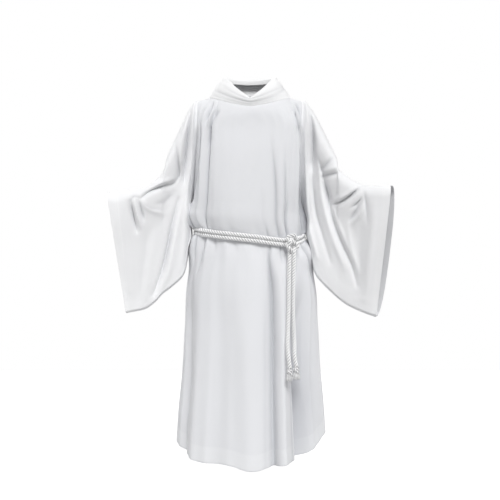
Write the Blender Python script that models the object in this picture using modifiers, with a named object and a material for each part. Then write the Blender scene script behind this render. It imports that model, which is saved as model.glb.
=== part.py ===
"""An alb: a long white vestment with bell sleeves, a cowl collar and a rope cincture tied at the waist.

Metres, +Z up. The origin is the middle of the shoulder line, where the wearer's shoulders hold the
garment up. The front faces -Y and the wearer's left is +X. A bearing is an angle round the body: 0 at
the middle of the front, 90 at the wearer's left side, 180 at the back. A drop is a depth below the
shoulder line.
"""

import math
from collections import namedtuple

import bmesh
import bpy
import numpy as np
from mathutils import Vector

COLLECTION = "alb_robe"

# Cloth and seams.
WALL = 0.0015
COLLAR_WALL = 0.0022
SEAM = 0.0003
WAIST_GAP = 0.0011
COLLAR_GAP = 0.0011
SHOULDER_END = 0.200
NECK_SHARE = 0.76
FRONT_COLUMNS = 27
BACK_COLUMNS = 23
SLEEVE_SEAM = 0.002
LOW_EDGE_ROOM = 0.035
ARM_TO_LOW = 0.17
HEM_DROP = 1.432
COLLAR_COLUMNS = 34
CHEST_DROP = 0.12
UNDERARM_DROP = 0.44

# Cincture.
ROPE_RADIUS = 0.0075
ROPE_SIDES_RESOLUTION = 2
STRAND_SPACING = 0.0172
STRAND_POINTS = 46
STRAND_CLEARANCE = 0.004
CORD_DROP = 0.537
CORD_LIFT = 0.020
CORD_SAG = 0.024
KNOT_BEARING = 41.5
GATHERS = 14
GATHER_DEPTH = 0.0035

Section = namedtuple("Section", "drop centre half_width front back squareness")
SECTIONS = (
    Section(0.12, -0.003, 0.203, 0.122, 0.118, 3.2),
    Section(0.20, -0.006, 0.204, 0.138, 0.130, 3.0),
    Section(0.30, -0.010, 0.207, 0.150, 0.140, 2.8),
    Section(0.40, -0.014, 0.211, 0.158, 0.147, 2.5),
    Section(0.47, -0.018, 0.213, 0.160, 0.150, 2.3),
    Section(0.505, -0.012, 0.210, 0.153, 0.143, 2.3),
    Section(0.537, -0.002, 0.203, 0.143, 0.133, 2.3),
    Section(0.565, 0.000, 0.206, 0.147, 0.137, 2.3),
    Section(0.62, 0.001, 0.221, 0.160, 0.150, 2.2),
    Section(0.70, 0.003, 0.247, 0.175, 0.170, 2.2),
    Section(0.90, 0.006, 0.260, 0.195, 0.205, 2.2),
    Section(1.10, 0.006, 0.265, 0.210, 0.222, 2.2),
    Section(1.30, 0.005, 0.279, 0.225, 0.238, 2.2),
    Section(1.432, 0.005, 0.287, 0.233, 0.246, 2.2),
)

# How far the hem rises above its lowest point, bearing by bearing: raised arms lift it at the sides.
Hem = namedtuple("Hem", "bearing rise")
HEM = (
    Hem(-180, 0.012),
    Hem(-145, 0.018),
    Hem(-110, 0.068),
    Hem(-90, 0.084),
    Hem(-68, 0.052),
    Hem(-42, 0.026),
    Hem(-15, 0.020),
    Hem(0, 0.002),
    Hem(16, 0.016),
    Hem(32, 0.028),
    Hem(54, 0.034),
    Hem(72, 0.086),
    Hem(92, 0.128),
    Hem(118, 0.080),
    Hem(148, 0.020),
    Hem(180, 0.012),
)

# How far the armhole seam lies before and behind the shoulder line, down to the underarm.
Armhole = namedtuple("Armhole", "drop before behind")
ARMHOLE = (
    Armhole(0.12, 0.084, 0.080),
    Armhole(0.20, 0.080, 0.078),
    Armhole(0.28, 0.069, 0.067),
    Armhole(0.345, 0.053, 0.052),
    Armhole(0.39, 0.037, 0.036),
    Armhole(0.42, 0.022, 0.022),
    Armhole(0.44, 0.0, 0.0),
)

# A fold of the body: its bearing where it starts and at the hem, the drops where it starts, is full and
# dies out, its half width along the cloth, and its depth, positive for a ridge.
Fold = namedtuple("Fold", "bearing_high bearing_low start full end half_width depth")
FOLDS = (
    Fold(-53, -46, 0.00, 0.08, 0.60, 0.012, -0.011),
    Fold(-63, -58, 0.02, 0.15, 0.56, 0.016, 0.006),
    Fold(14, 36, 0.10, 0.40, 0.60, 0.020, -0.007),
    Fold(33, 49, 0.16, 0.40, 0.60, 0.016, -0.006),
    Fold(24, 42, 0.12, 0.40, 0.60, 0.020, 0.006),
    Fold(16, 15, 0.55, 0.78, 9.0, 0.030, -0.026),
    Fold(27, 27, 0.58, 1.00, 9.0, 0.040, 0.024),
    Fold(56, 53, 0.60, 1.20, 9.0, 0.054, -0.090),
    Fold(84, 84, 0.60, 1.20, 9.0, 0.040, 0.014),
    Fold(-24, -27, 0.56, 0.90, 9.0, 0.050, -0.012),
    Fold(-4, 0, 0.60, 1.00, 9.0, 0.045, 0.014),
    Fold(-50, -50, 0.58, 1.10, 9.0, 0.040, 0.012),
    Fold(-66, -68, 0.58, 1.10, 9.0, 0.032, -0.038),
    Fold(-84, -84, 0.60, 1.20, 9.0, 0.040, 0.012),
    Fold(-112, -116, 0.58, 1.10, 9.0, 0.045, -0.042),
    Fold(-138, -140, 0.56, 1.00, 9.0, 0.050, 0.016),
    Fold(-163, -166, 0.56, 0.90, 9.0, 0.034, -0.030),
    Fold(172, 176, 0.58, 1.00, 9.0, 0.045, 0.014),
    Fold(150, 148, 0.56, 0.90, 9.0, 0.038, -0.034),
    Fold(128, 126, 0.58, 1.10, 9.0, 0.045, 0.014),
    Fold(108, 106, 0.60, 1.15, 9.0, 0.042, -0.038),
    Fold(165, 158, 0.10, 0.35, 0.60, 0.022, -0.007),
    Fold(-160, -150, 0.14, 0.35, 0.60, 0.022, -0.007),
    Fold(-128, -136, 0.05, 0.25, 0.58, 0.016, -0.008),
    Fold(130, 136, 0.05, 0.25, 0.58, 0.016, -0.008),
)

# The free ends, from the knot down past their tassels: where each hangs, and the room it takes each way.
Tail = namedtuple("Tail", "drop inner outer room")
TAILS = (
    Tail(0.602, 0.1565, 0.1730, 0.0075),
    Tail(0.700, 0.1560, 0.1735, 0.0075),
    Tail(0.820, 0.1545, 0.1735, 0.0080),
    Tail(0.900, 0.1525, 0.1755, 0.0090),
    Tail(0.960, 0.1500, 0.1820, 0.0120),
    Tail(1.012, 0.1500, 0.1835, 0.0170),
    Tail(1.065, 0.1500, 0.1835, 0.0180),
)
TAIL_END = 1.012
TAIL_POINTS = 24
TAIL_CLEARANCE = 0.004
TAIL_LEAN = 0.003
TASSEL_HEAD = 0.0145
STRAND_LENGTH = 0.030
STRAND_ROOT = 0.0022
STRAND_TIP = 0.0016

# Rings of yarns under a tassel's head: how many, how far out, and how far they spread.
Ring = namedtuple("Ring", "yarns radius spread")
RINGS = (Ring(10, 0.0100, 0.0045), Ring(4, 0.0042, 0.0020))

# Arcs of rope over the knot's core: along the cord, up and out at the start, the middle and the end.
Arc = namedtuple("Arc", "along_0 up_0 out_0 along_1 up_1 out_1 along_2 up_2 out_2")
KNOT_CORE = (0.023, 0.031, 0.014)
KNOT_ARCS = (
    Arc(-0.022, 0.020, 0.012, 0.000, 0.010, 0.031, 0.021, -0.010, 0.012),
    Arc(-0.021, -0.004, 0.010, -0.006, -0.024, 0.026, 0.016, -0.024, 0.010),
    Arc(-0.010, 0.024, 0.010, 0.010, 0.026, 0.024, 0.022, 0.008, 0.012),
)
KNOT_ROPE = 0.0072
KNOT_CLEARANCE = 0.0025
STUB_TOP = 0.028

# Loops of the collar, from the neck seam up over its folded edge and down inside.
Loop = namedtuple("Loop", "side front back side_height front_height back_height")
COLLAR = (
    Loop(0.156, 0.097, 0.078, 0.006, -0.031, 0.020),
    Loop(0.150, 0.104, 0.084, 0.024, -0.021, 0.038),
    Loop(0.134, 0.108, 0.082, 0.047, -0.008, 0.058),
    Loop(0.114, 0.105, 0.074, 0.071, 0.003, 0.075),
    Loop(0.099, 0.098, 0.065, 0.085, 0.008, 0.083),
    Loop(0.089, 0.092, 0.058, 0.080, 0.001, 0.076),
    Loop(0.086, 0.090, 0.056, 0.063, -0.012, 0.060),
)

# Sections of a sleeve: its top line, its lower edge, and, in depth, where the arm and the lower edge lie
# and half the room that the arm and the hanging cloth take.
Cuff = namedtuple("Cuff", "top top_z low low_z arm_y arm_room low_y low_room")
SLEEVE_RIGHT = (
    Cuff(0.222, -0.014, 0.244, -0.560, -0.004, 0.082, -0.006, 0.054),
    Cuff(0.245, -0.052, 0.249, -0.640, -0.016, 0.080, -0.028, 0.048),
    Cuff(0.270, -0.106, 0.264, -0.696, -0.032, 0.074, -0.050, 0.042),
    Cuff(0.301, -0.174, 0.307, -0.737, -0.056, 0.068, -0.078, 0.036),
    Cuff(0.323, -0.229, 0.341, -0.763, -0.078, 0.062, -0.090, 0.035),
    Cuff(0.335, -0.282, 0.368, -0.792, -0.097, 0.057, -0.100, 0.034),
    Cuff(0.368, -0.322, 0.396, -0.814, -0.120, 0.053, -0.112, 0.034),
    Cuff(0.404, -0.344, 0.416, -0.822, -0.143, 0.049, -0.124, 0.034),
    Cuff(0.440, -0.355, 0.434, -0.825, -0.165, 0.045, -0.134, 0.035),
    Cuff(0.486, -0.361, 0.455, -0.828, -0.190, 0.042, -0.146, 0.036),
    Cuff(0.538, -0.366, 0.474, -0.831, -0.214, 0.040, -0.158, 0.038),
)
SLEEVE_LEFT = (
    Cuff(0.224, -0.014, 0.237, -0.545, -0.004, 0.082, -0.006, 0.054),
    Cuff(0.252, -0.054, 0.244, -0.632, -0.016, 0.080, -0.026, 0.048),
    Cuff(0.285, -0.118, 0.258, -0.690, -0.032, 0.074, -0.046, 0.042),
    Cuff(0.317, -0.186, 0.288, -0.728, -0.054, 0.068, -0.070, 0.036),
    Cuff(0.337, -0.231, 0.319, -0.758, -0.074, 0.062, -0.084, 0.035),
    Cuff(0.343, -0.274, 0.346, -0.782, -0.095, 0.057, -0.094, 0.034),
    Cuff(0.374, -0.303, 0.373, -0.802, -0.118, 0.053, -0.106, 0.034),
    Cuff(0.410, -0.328, 0.400, -0.816, -0.142, 0.049, -0.118, 0.034),
    Cuff(0.444, -0.341, 0.426, -0.827, -0.165, 0.045, -0.130, 0.036),
    Cuff(0.487, -0.342, 0.453, -0.837, -0.190, 0.043, -0.142, 0.040),
    Cuff(0.531, -0.340, 0.482, -0.846, -0.212, 0.042, -0.152, 0.044),
)

# A crease of a sleeve as seen from the front: where it starts, bends and ends, out from the middle and up,
# its half width and its depth, positive for a ridge.
Crease = namedtuple("Crease", "out_0 up_0 out_1 up_1 out_2 up_2 half_width depth")
CREASES_RIGHT_FRONT = (
    Crease(0.226, -0.040, 0.236, -0.150, 0.254, -0.350, 0.013, -0.018),
    Crease(0.250, -0.080, 0.262, -0.190, 0.275, -0.330, 0.020, 0.008),
    Crease(0.295, -0.315, 0.340, -0.365, 0.410, -0.400, 0.020, -0.014),
    Crease(0.281, -0.430, 0.300, -0.560, 0.362, -0.740, 0.022, -0.024),
    Crease(0.262, -0.370, 0.276, -0.520, 0.335, -0.720, 0.022, 0.014),
    Crease(0.452, -0.400, 0.446, -0.460, 0.418, -0.600, 0.018, -0.014),
    Crease(0.410, -0.410, 0.380, -0.470, 0.310, -0.450, 0.020, 0.010),
    Crease(0.500, -0.390, 0.490, -0.520, 0.462, -0.740, 0.026, 0.010),
)
CREASES_RIGHT_BACK = (
    Crease(0.232, -0.060, 0.240, -0.200, 0.262, -0.420, 0.016, -0.016),
    Crease(0.290, -0.270, 0.330, -0.420, 0.350, -0.700, 0.024, -0.018),
    Crease(0.355, -0.350, 0.390, -0.480, 0.410, -0.760, 0.024, 0.012),
    Crease(0.440, -0.400, 0.445, -0.540, 0.432, -0.760, 0.024, -0.014),
)
CREASES_LEFT_FRONT = (
    Crease(0.236, -0.045, 0.242, -0.180, 0.256, -0.360, 0.016, -0.020),
    Crease(0.280, -0.130, 0.278, -0.330, 0.350, -0.640, 0.020, 0.010),
    Crease(0.276, -0.290, 0.300, -0.450, 0.410, -0.715, 0.020, -0.020),
    Crease(0.254, -0.350, 0.285, -0.500, 0.330, -0.670, 0.018, -0.016),
    Crease(0.240, -0.200, 0.252, -0.440, 0.300, -0.640, 0.018, 0.010),
    Crease(0.285, -0.300, 0.312, -0.302, 0.336, -0.300, 0.018, -0.009),
    Crease(0.312, -0.423, 0.375, -0.410, 0.438, -0.350, 0.015, -0.012),
    Crease(0.470, -0.380, 0.462, -0.540, 0.440, -0.760, 0.028, 0.012),
    Crease(0.430, -0.440, 0.420, -0.560, 0.425, -0.740, 0.026, -0.012),
)
CREASES_LEFT_BACK = (
    Crease(0.236, -0.060, 0.246, -0.200, 0.262, -0.420, 0.016, -0.016),
    Crease(0.300, -0.270, 0.320, -0.420, 0.330, -0.690, 0.024, -0.018),
    Crease(0.350, -0.340, 0.380, -0.480, 0.395, -0.740, 0.024, 0.012),
    Crease(0.450, -0.390, 0.448, -0.540, 0.430, -0.770, 0.024, -0.014),
)

YOKE_ROWS = (0.0, 0.12, 0.28, 0.46, 0.64, 0.82)
TORSO_ROWS = (0.12, 0.16, 0.20, 0.245, 0.29, 0.33, 0.365, 0.395, 0.42, 0.44)
LOWER_ROWS = (
    0.465, 0.490, 0.513, CORD_DROP, 0.561, 0.587, 0.62, 0.665, 0.73, 0.81, 0.91, 1.02, 1.13, 1.24, 1.34, HEM_DROP,
)  # fmt: skip
SLEEVE_ROWS = (0.0, 0.2, 0.45, 0.72) + tuple(1 + 0.5 * step for step in range(21))


def smooth(value):
    """0 up to 0, 1 from 1 on, and an S-curve between."""
    value = np.clip(value, 0.0, 1.0)
    return value * value * (3 - 2 * value)


def through(keys, values, at):
    """Reads a smooth curve through a table's rows: a cubic between rows, with the mean slope at each."""
    keys = np.asarray(keys, float)
    values = np.asarray(values, float)
    slopes = np.gradient(values, keys, axis=0)
    at = np.clip(np.asarray(at, float), keys[0], keys[-1])
    low = np.clip(np.searchsorted(keys, at) - 1, 0, len(keys) - 2)
    span = keys[low + 1] - keys[low]
    f = (at - keys[low]) / span
    if values.ndim > 1:
        f, span = f[..., None], span[..., None]
    return (
        (2 * f**3 - 3 * f**2 + 1) * values[low]
        + (f**3 - 2 * f**2 + f) * span * slopes[low]
        + (3 * f**2 - 2 * f**3) * values[low + 1]
        + (f**3 - f**2) * span * slopes[low + 1]
    )


def columns_of(table, *names):
    """The named columns of a table, each as an array."""
    return [np.array([getattr(row, name) for row in table]) for name in names]


def body_fold(bearing, drop, radius):
    """How far the folds and the gathers push the cloth out at a bearing and a drop."""
    out = np.zeros(np.broadcast(bearing, drop).shape)
    for fold in FOLDS:
        if fold.end < HEM_DROP:
            along = np.clip((drop - fold.start) / (fold.end - fold.start), 0, 1)
        else:
            along = smooth((drop - fold.start) / (HEM_DROP - fold.start))
        middle = fold.bearing_high + (fold.bearing_low - fold.bearing_high) * along
        away = np.radians((bearing - middle + 180) % 360 - 180) * radius / fold.half_width
        grown = smooth((drop - fold.start) / (fold.full - fold.start))
        left = smooth((fold.end - drop) / 0.10)
        out = out + fold.depth * grown * left / (1 + away**2) ** 2
    # The cord holds the cloth flat, and gathers run out of it both ways.
    held = 1 - 0.9 * np.exp(-(((drop - CORD_DROP) / 0.020) ** 2))
    near = np.exp(-(((drop - CORD_DROP - 0.03) / 0.075) ** 2))
    turn = np.radians(bearing) * GATHERS + 1.3 * np.sin(np.radians(2 * bearing + 40))
    return out * held + GATHER_DEPTH * near * held * np.cos(turn)


def cord_height(bearing):
    """The height of the cord: higher at the wearer's right side, and lowest near the knot."""
    lift = CORD_LIFT * np.exp(-(((bearing + 90 + 180) % 360 - 180) / 60.0) ** 2)
    sag = CORD_SAG * np.exp(-(((bearing - KNOT_BEARING + 180) % 360 - 180) / 38.0) ** 2)
    return -CORD_DROP + lift - sag


def body_point(bearing, drop, out=0.0, back=None):
    """Points of the body at bearings and drops from the chest down, pushed out by out, as (..., 3)."""
    bearing, drop = np.broadcast_arrays(np.asarray(bearing, float), np.asarray(drop, float))
    drops, *rest = columns_of(SECTIONS, *Section._fields)
    centre, half_width, ahead, behind, square = (through(drops, column, drop) for column in rest)
    angle = np.radians(bearing)
    sine, cosine = np.sin(angle), np.cos(angle)
    is_front = cosine >= 0 if back is None else np.full(cosine.shape, not back)
    depth = np.where(is_front, ahead, behind)
    seam_drop, *seam = columns_of(ARMHOLE, *Armhole._fields)
    edge = through(seam_drop, np.column_stack(seam), drop)
    edge = np.where(is_front, edge[..., 0], edge[..., 1])
    edge = np.where(drop >= UNDERARM_DROP, 0.0, np.maximum(edge, 0.0))
    power = 2 / square
    x = half_width * np.sign(sine) * np.abs(sine) ** power
    y = edge + (depth - edge) * np.abs(cosine) ** power
    normal_x = np.sign(sine) * np.abs(sine) ** (2 - power) / half_width
    normal_y = np.abs(cosine) ** (2 - power) / np.maximum(depth - edge, 0.03)
    length = np.hypot(normal_x, normal_y)
    push = out + body_fold(bearing, drop, (half_width + depth) / 2)
    x = centre + x + push * normal_x / length
    y = np.where(is_front, -1, 1) * (y + push * normal_y / length)
    tilt = (cord_height(bearing) + CORD_DROP) * np.exp(-(((drop - CORD_DROP) / 0.12) ** 2))
    rise = through(*columns_of(HEM, *Hem._fields), (bearing + 180) % 360 - 180)
    z = -drop + tilt + rise * smooth((drop - 0.7) / (HEM_DROP - 0.7)) ** 1.5
    return np.stack([x, y, z], axis=-1)


def neck_point(loop, bearing):
    """A collar loop's points at bearings: an ellipse in plan that rises from the front to the sides."""
    angle = np.radians(bearing)
    sine, cosine = np.abs(np.sin(angle)), np.cos(angle)
    ahead = cosine >= 0
    y = np.where(ahead, -loop.front * cosine, -loop.back * cosine)
    low = np.where(ahead, loop.front_height, loop.back_height)
    z = low + (loop.side_height - low) * sine**1.4
    return np.stack([loop.side * np.sin(angle), y, z], axis=-1)


def yoke_top(share, back):
    """The top edge of a panel from armhole to armhole: shoulder seam, neck seam, shoulder seam."""
    size = np.abs(share)
    neck_bearing = np.sign(share) * np.minimum(size / NECK_SHARE, 1) * 90
    neck = neck_point(COLLAR[0], np.where(back, 180 - neck_bearing, neck_bearing))
    along = np.clip((size - NECK_SHARE) / (1 - NECK_SHARE), 0, 1)[..., None]
    side = np.sign(share)[..., None]
    corner = side * np.array([SHOULDER_END, 0, 0]) + np.array([0, 0, -0.008])
    corner = np.broadcast_to(corner, neck.shape)
    top = neck + (corner - neck) * along
    top[..., 1] = np.where(size > NECK_SHARE, 0.0, top[..., 1])
    return top


def yoke_point(share, down, back):
    """The yoke, from the top edge at down 0 to the chest at down 1: a Bezier curve in each column."""
    share, down = np.broadcast_arrays(np.asarray(share, float), np.asarray(down, float))
    way = 1.0 if back else -1.0
    bearing = np.where(back, 180 - 90 * share, 90 * share)
    top = yoke_top(share, back)
    chest = body_point(bearing, np.full(share.shape, CHEST_DROP), back=back)
    reach = 0.36 * np.linalg.norm(chest - top, axis=-1, keepdims=True)
    size = np.abs(share)
    leave = np.stack([0.25 * share * size, way * (0.5 + 0.5 * size), -0.8 * (1 - size**2)], axis=-1)
    leave = leave / np.linalg.norm(leave, axis=-1, keepdims=True)
    after = body_point(bearing, np.full(share.shape, CHEST_DROP + 0.01), back=back)
    arrive = chest - after
    arrive = arrive / np.linalg.norm(arrive, axis=-1, keepdims=True)
    t = down[..., None]
    points = (
        (1 - t) ** 3 * top
        + 3 * (1 - t) ** 2 * t * (top + reach * leave)
        + 3 * (1 - t) * t**2 * (chest + reach * arrive)
        + t**3 * chest
    )
    # The shoulder folds fade out towards the seam.
    push = body_fold(bearing, CHEST_DROP * down, 0.17) * smooth(down * 2)
    push = push - body_fold(bearing, CHEST_DROP * np.ones_like(down), 0.17) * smooth(down * 2 - 1)
    lean = np.stack([np.zeros_like(down), way * down, 1 - down], axis=-1)
    lean = lean / np.linalg.norm(lean, axis=-1, keepdims=True)
    return points + push[..., None] * lean


def panel_grid(back, shares):
    """The front or the back as rows of points, from the shoulders to the hem."""
    rows = [yoke_point(shares, np.full(len(shares), down), back) for down in YOKE_ROWS]
    bearing = 180 - 90 * shares if back else 90 * shares
    for drop in TORSO_ROWS + LOWER_ROWS:
        rows.append(body_point(bearing, np.full(len(shares), drop), back=back))
    return np.array(rows)


def pull_apart(grid, rows, back):
    """Draws the side seams of a panel and its shoulder seam back, for a gap to the piece sewn there."""
    way = 1.0 if back else -1.0
    grid = grid.copy()
    for column, inner in ((0, 1), (-1, -2)):
        inward = grid[rows:, inner] - grid[rows:, column]
        inward = inward / np.linalg.norm(inward, axis=1, keepdims=True)
        grid[rows:, column] += SEAM * inward
    seam = grid[0, :, 1] * way < 1e-6
    grid[0, seam, 1] += way * SEAM
    return grid


def armhole_ring(side):
    """The armhole seam from the shoulder down the front and up the back, on one side, as (points, 3)."""
    share = np.array([float(side)])
    front = panel_grid(False, share)[: len(YOKE_ROWS) + len(TORSO_ROWS), 0]
    back = panel_grid(True, share)[: len(YOKE_ROWS) + len(TORSO_ROWS), 0]
    return np.concatenate([front, back[-2:0:-1]])


def crease_push(creases, out, up):
    """How far a table of creases pushes points of a sleeve, seen from the front."""
    push = np.zeros(out.shape)
    for crease in creases:
        f = np.linspace(0, 1, 13)
        start, bend, end = crease[0:2], crease[2:4], crease[4:6]
        control = 2 * np.array(bend) - (np.array(start) + np.array(end)) / 2
        curve = np.outer((1 - f) ** 2, start) + np.outer(2 * f * (1 - f), control) + np.outer(f**2, end)
        nearest = np.full(out.shape, 1e9)
        place = np.zeros(out.shape)
        for number, (a, b) in enumerate(zip(curve[:-1], curve[1:])):
            run = b - a
            along = np.clip(((out - a[0]) * run[0] + (up - a[1]) * run[1]) / (run @ run), 0, 1)
            away = np.hypot(out - a[0] - along * run[0], up - a[1] - along * run[1])
            place = np.where(away < nearest, (number + along) / 12, place)
            nearest = np.minimum(away, nearest)
        taper = np.sin(math.pi * (0.06 + 0.88 * place)) ** 0.7
        push = push + crease.depth * taper / (1 + (nearest / crease.half_width) ** 2) ** 2
    return push


def sleeve_sections(table, at, count):
    """Rings of a sleeve at places along its table, count points down the front and as many up the back."""
    keys = np.arange(1, len(table) + 1)
    top, top_z, low, low_z, arm_y, arm_room, low_y, low_room = (
        through(keys, column, at)[:, None] for column in columns_of(table, *Cuff._fields)
    )
    share = (1 - np.cos(math.pi * np.arange(count + 1) / count)) / 2
    share = np.concatenate([share, share[-2:0:-1]])[None]
    way = np.concatenate([-np.ones(count), [0.0], np.ones(count - 1)])[None]
    length = np.hypot(top - low, top_z - low_z)
    below = share * length
    round_top = np.sqrt(np.maximum(1 - (1 - np.minimum(below / arm_room, 1)) ** 2, 0))
    above = length - below
    round_low = np.sqrt(np.maximum(1 - (1 - np.minimum(above / LOW_EDGE_ROOM, 1)) ** 2, 0))
    room = arm_room + (low_room - arm_room) * smooth((below - arm_room) / ARM_TO_LOW)
    x = top + (low - top) * share
    y = arm_y + (low_y - arm_y) * smooth(share) + way * room * round_top * round_low
    z = top_z + (low_z - top_z) * share
    return np.stack([np.broadcast_to(x, y.shape), y, np.broadcast_to(z, y.shape)], axis=-1)


def sleeve_grid(side, table, front_creases, back_creases, rows):
    """A sleeve as rings of points from the armhole to the cuff."""
    count = len(YOKE_ROWS) + len(TORSO_ROWS) - 1
    rows = np.asarray(rows, float)
    far = rows >= 1
    rings = np.zeros((len(rows), 2 * count, 3))
    rings[far] = sleeve_sections(table, rows[far], count)
    seam = armhole_ring(side) * [side, 1, 1]
    seam = seam + [SLEEVE_SEAM, 0, 0]
    first, next_ring = sleeve_sections(table, np.array([1.0, 1.05]), count)
    t = rows[~far][:, None, None]
    leave = (first - seam) * [1.5, 0, 0.6]
    arrive = (next_ring - first) / 0.05
    rings[~far] = (
        (2 * t**3 - 3 * t**2 + 1) * seam
        + (t**3 - 2 * t**2 + t) * leave
        + (3 * t**2 - 2 * t**3) * first
        + (t**3 - t**2) * arrive
    )
    way = np.concatenate([-np.ones(count), [0.0], np.ones(count - 1)])
    inside = np.sin(math.pi * np.arange(2 * count) / count) ** 2
    inside = np.minimum(1, 3 * inside)
    grown = smooth(rows / 1.2)[:, None]
    front = crease_push(front_creases, rings[..., 0], rings[..., 2])
    back = crease_push(back_creases, rings[..., 0], rings[..., 2])
    push = np.where(way < 0, front, back) * inside * grown
    rings[..., 1] += way * push
    return rings * [side, 1, 1]


def material(name, color, roughness):
    """A cloth or rope material."""
    made = bpy.data.materials.new(name)
    made.use_nodes = True
    shader = made.node_tree.nodes["Principled BSDF"]
    shader.inputs["Base Color"].default_value = (*color, 1)
    shader.inputs["Roughness"].default_value = roughness
    shader.inputs["Metallic"].default_value = 0.0
    return made


def add_object(name, data, home, look):
    """Puts a mesh or a curve in the collection as a named object."""
    made = bpy.data.objects.new(name, data)
    data.materials.append(look)
    home.objects.link(made)
    return made


def add_wall(name, grid, closed, wall, home, look):
    """A grid of points as a cloth wall, closed across its columns for a tube."""
    rows, columns = grid.shape[:2]
    index = np.arange(rows * columns).reshape(rows, columns)
    if closed:
        index = np.column_stack([index, index[:, 0]])
    corners = (index[:-1, :-1], index[1:, :-1], index[1:, 1:], index[:-1, 1:])
    faces = np.stack(corners, axis=-1).reshape(-1, 4)
    mesh = bpy.data.meshes.new(name)
    mesh.from_pydata(grid.reshape(-1, 3).tolist(), [], faces.tolist())
    built = bmesh.new()
    built.from_mesh(mesh)
    bmesh.ops.recalc_face_normals(built, faces=built.faces)
    built.to_mesh(mesh)
    built.free()
    mesh.shade_smooth()
    made = add_object(name, mesh, home, look)
    solid = made.modifiers.new("wall", "SOLIDIFY")
    solid.thickness = wall
    solid.offset = 0
    return made


def build_panels(home, look):
    """The front and the back, each a bodice down to the cord's line and a skirt from there to the hem."""
    underarm = len(YOKE_ROWS) + len(TORSO_ROWS) - 1
    waist = len(YOKE_ROWS) + len(TORSO_ROWS) + LOWER_ROWS.index(CORD_DROP)
    for name, back, columns in (("front", False, FRONT_COLUMNS), ("back", True, BACK_COLUMNS)):
        shares = np.linspace(-1, 1, columns)
        grid = pull_apart(panel_grid(back, shares), underarm, back)
        bodice = grid[: waist + 1].copy()
        skirt = grid[waist:].copy()
        bodice[-1, :, 2] += WAIST_GAP / 2
        skirt[0, :, 2] -= WAIST_GAP / 2
        add_wall(f"{name}_bodice", bodice, False, WALL, home, look)
        add_wall(f"{name}_skirt", skirt, False, WALL, home, look)


def build_sleeves(home, look):
    """The two sleeves, each a tube from its armhole to its cuff."""
    right = (-1, SLEEVE_RIGHT, CREASES_RIGHT_FRONT, CREASES_RIGHT_BACK)
    left = (1, SLEEVE_LEFT, CREASES_LEFT_FRONT, CREASES_LEFT_BACK)
    add_wall("sleeve_right", sleeve_grid(*right, SLEEVE_ROWS), True, WALL, home, look)
    add_wall("sleeve_left", sleeve_grid(*left, SLEEVE_ROWS), True, WALL, home, look)


def build_collar(home, look):
    """The cowl collar, a band of loops from just above the neck seam, in two halves that meet at the
    centre front and the centre back."""
    keys = np.arange(len(COLLAR))
    places = np.array([0.06, 0.9, 1.8, 2.6, 3.3, 4.0, 4.8, 6.0])
    values = through(keys, np.array(COLLAR), places)
    for name, side in (("right", -1), ("left", 1)):
        bearings = side * np.linspace(0, 180, COLLAR_COLUMNS // 2 + 1)
        grid = np.array([neck_point(Loop(*row), bearings) for row in values])
        grid[:, [0, -1], 0] = side * COLLAR_GAP / 2
        add_wall(f"cowl_collar_{name}", grid, False, COLLAR_WALL, home, look)


def add_rope(name, points, closed, home, look):
    """A plain rope along points, as a round tube."""
    curve = bpy.data.curves.new(name, "CURVE")
    curve.dimensions = "3D"
    curve.bevel_depth = ROPE_RADIUS
    curve.bevel_resolution = ROPE_SIDES_RESOLUTION
    curve.use_fill_caps = True
    spline = curve.splines.new("POLY")
    spline.points.add(len(points) - 1)
    for point, place in zip(spline.points, points):
        point.co = (*place, 1)
        point.radius = 1
    spline.use_cyclic_u = closed
    spline.use_smooth = True
    return add_object(name, curve, home, look)


def strand_points(bearings, step):
    """The middle line of one strand of the cord at the waist, step up or down from the cord's line."""
    out = WALL / 2 + ROPE_RADIUS + STRAND_CLEARANCE
    points = body_point(bearings, np.full(len(bearings), CORD_DROP - step), out)
    points[:, 2] = cord_height(bearings) + step
    return points


def build_cord(home, look):
    """The two strands round the waist."""
    bearings = np.linspace(0, 360, STRAND_POINTS + 1)[:-1]
    for name, step in (("upper", 0.5), ("lower", -0.5)):
        points = strand_points(bearings, step * STRAND_SPACING)
        add_rope(f"cincture_waist_{name}", points, True, home, look)


def body_front_y(x, drop, reach):
    """How far forward the skirt comes at a drop, within reach of x, on the wearer's left front."""
    bearings = np.linspace(5, 75, 141)
    points = body_point(bearings, np.full(len(bearings), drop))
    across = np.linspace(x - reach, x + reach, 7)
    return np.interp(across, points[:, 0], points[:, 1]).min()


def tail_points(which):
    """The middle line of a free end, laid on the skirt from the knot to its tassel."""
    drops, inner, outer, room = columns_of(TAILS, *Tail._fields)
    x = outer if which else inner
    y = [body_front_y(*place) - place[2] - TAIL_CLEARANCE for place in zip(x, drops, room)]
    y[0] = knot_frame()[0][1] - TAIL_LEAN
    y[1] = min(y[1], (y[0] + y[2]) / 2)
    at = np.linspace(drops[0], TAIL_END, TAIL_POINTS)
    line = through(drops, np.column_stack([x, y]), at)
    return np.column_stack([line, -at])


def knot_frame():
    """The knot's centre, on the outside of the cord, and its axes: along the cord, up and out."""
    reach = WALL / 2 + 2 * ROPE_RADIUS + STRAND_CLEARANCE + KNOT_CORE[2] + KNOT_CLEARANCE
    near = np.array([KNOT_BEARING - 2, KNOT_BEARING, KNOT_BEARING + 2])
    points = body_point(near, np.full(3, CORD_DROP), reach)
    along = points[2] - points[0]
    along[2] = 0
    along = along / np.linalg.norm(along)
    centre = np.array([*points[1, :2], cord_height(KNOT_BEARING)])
    return centre, np.array([along, [0, 0, 1], [along[1], -along[0], 0]])


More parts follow.
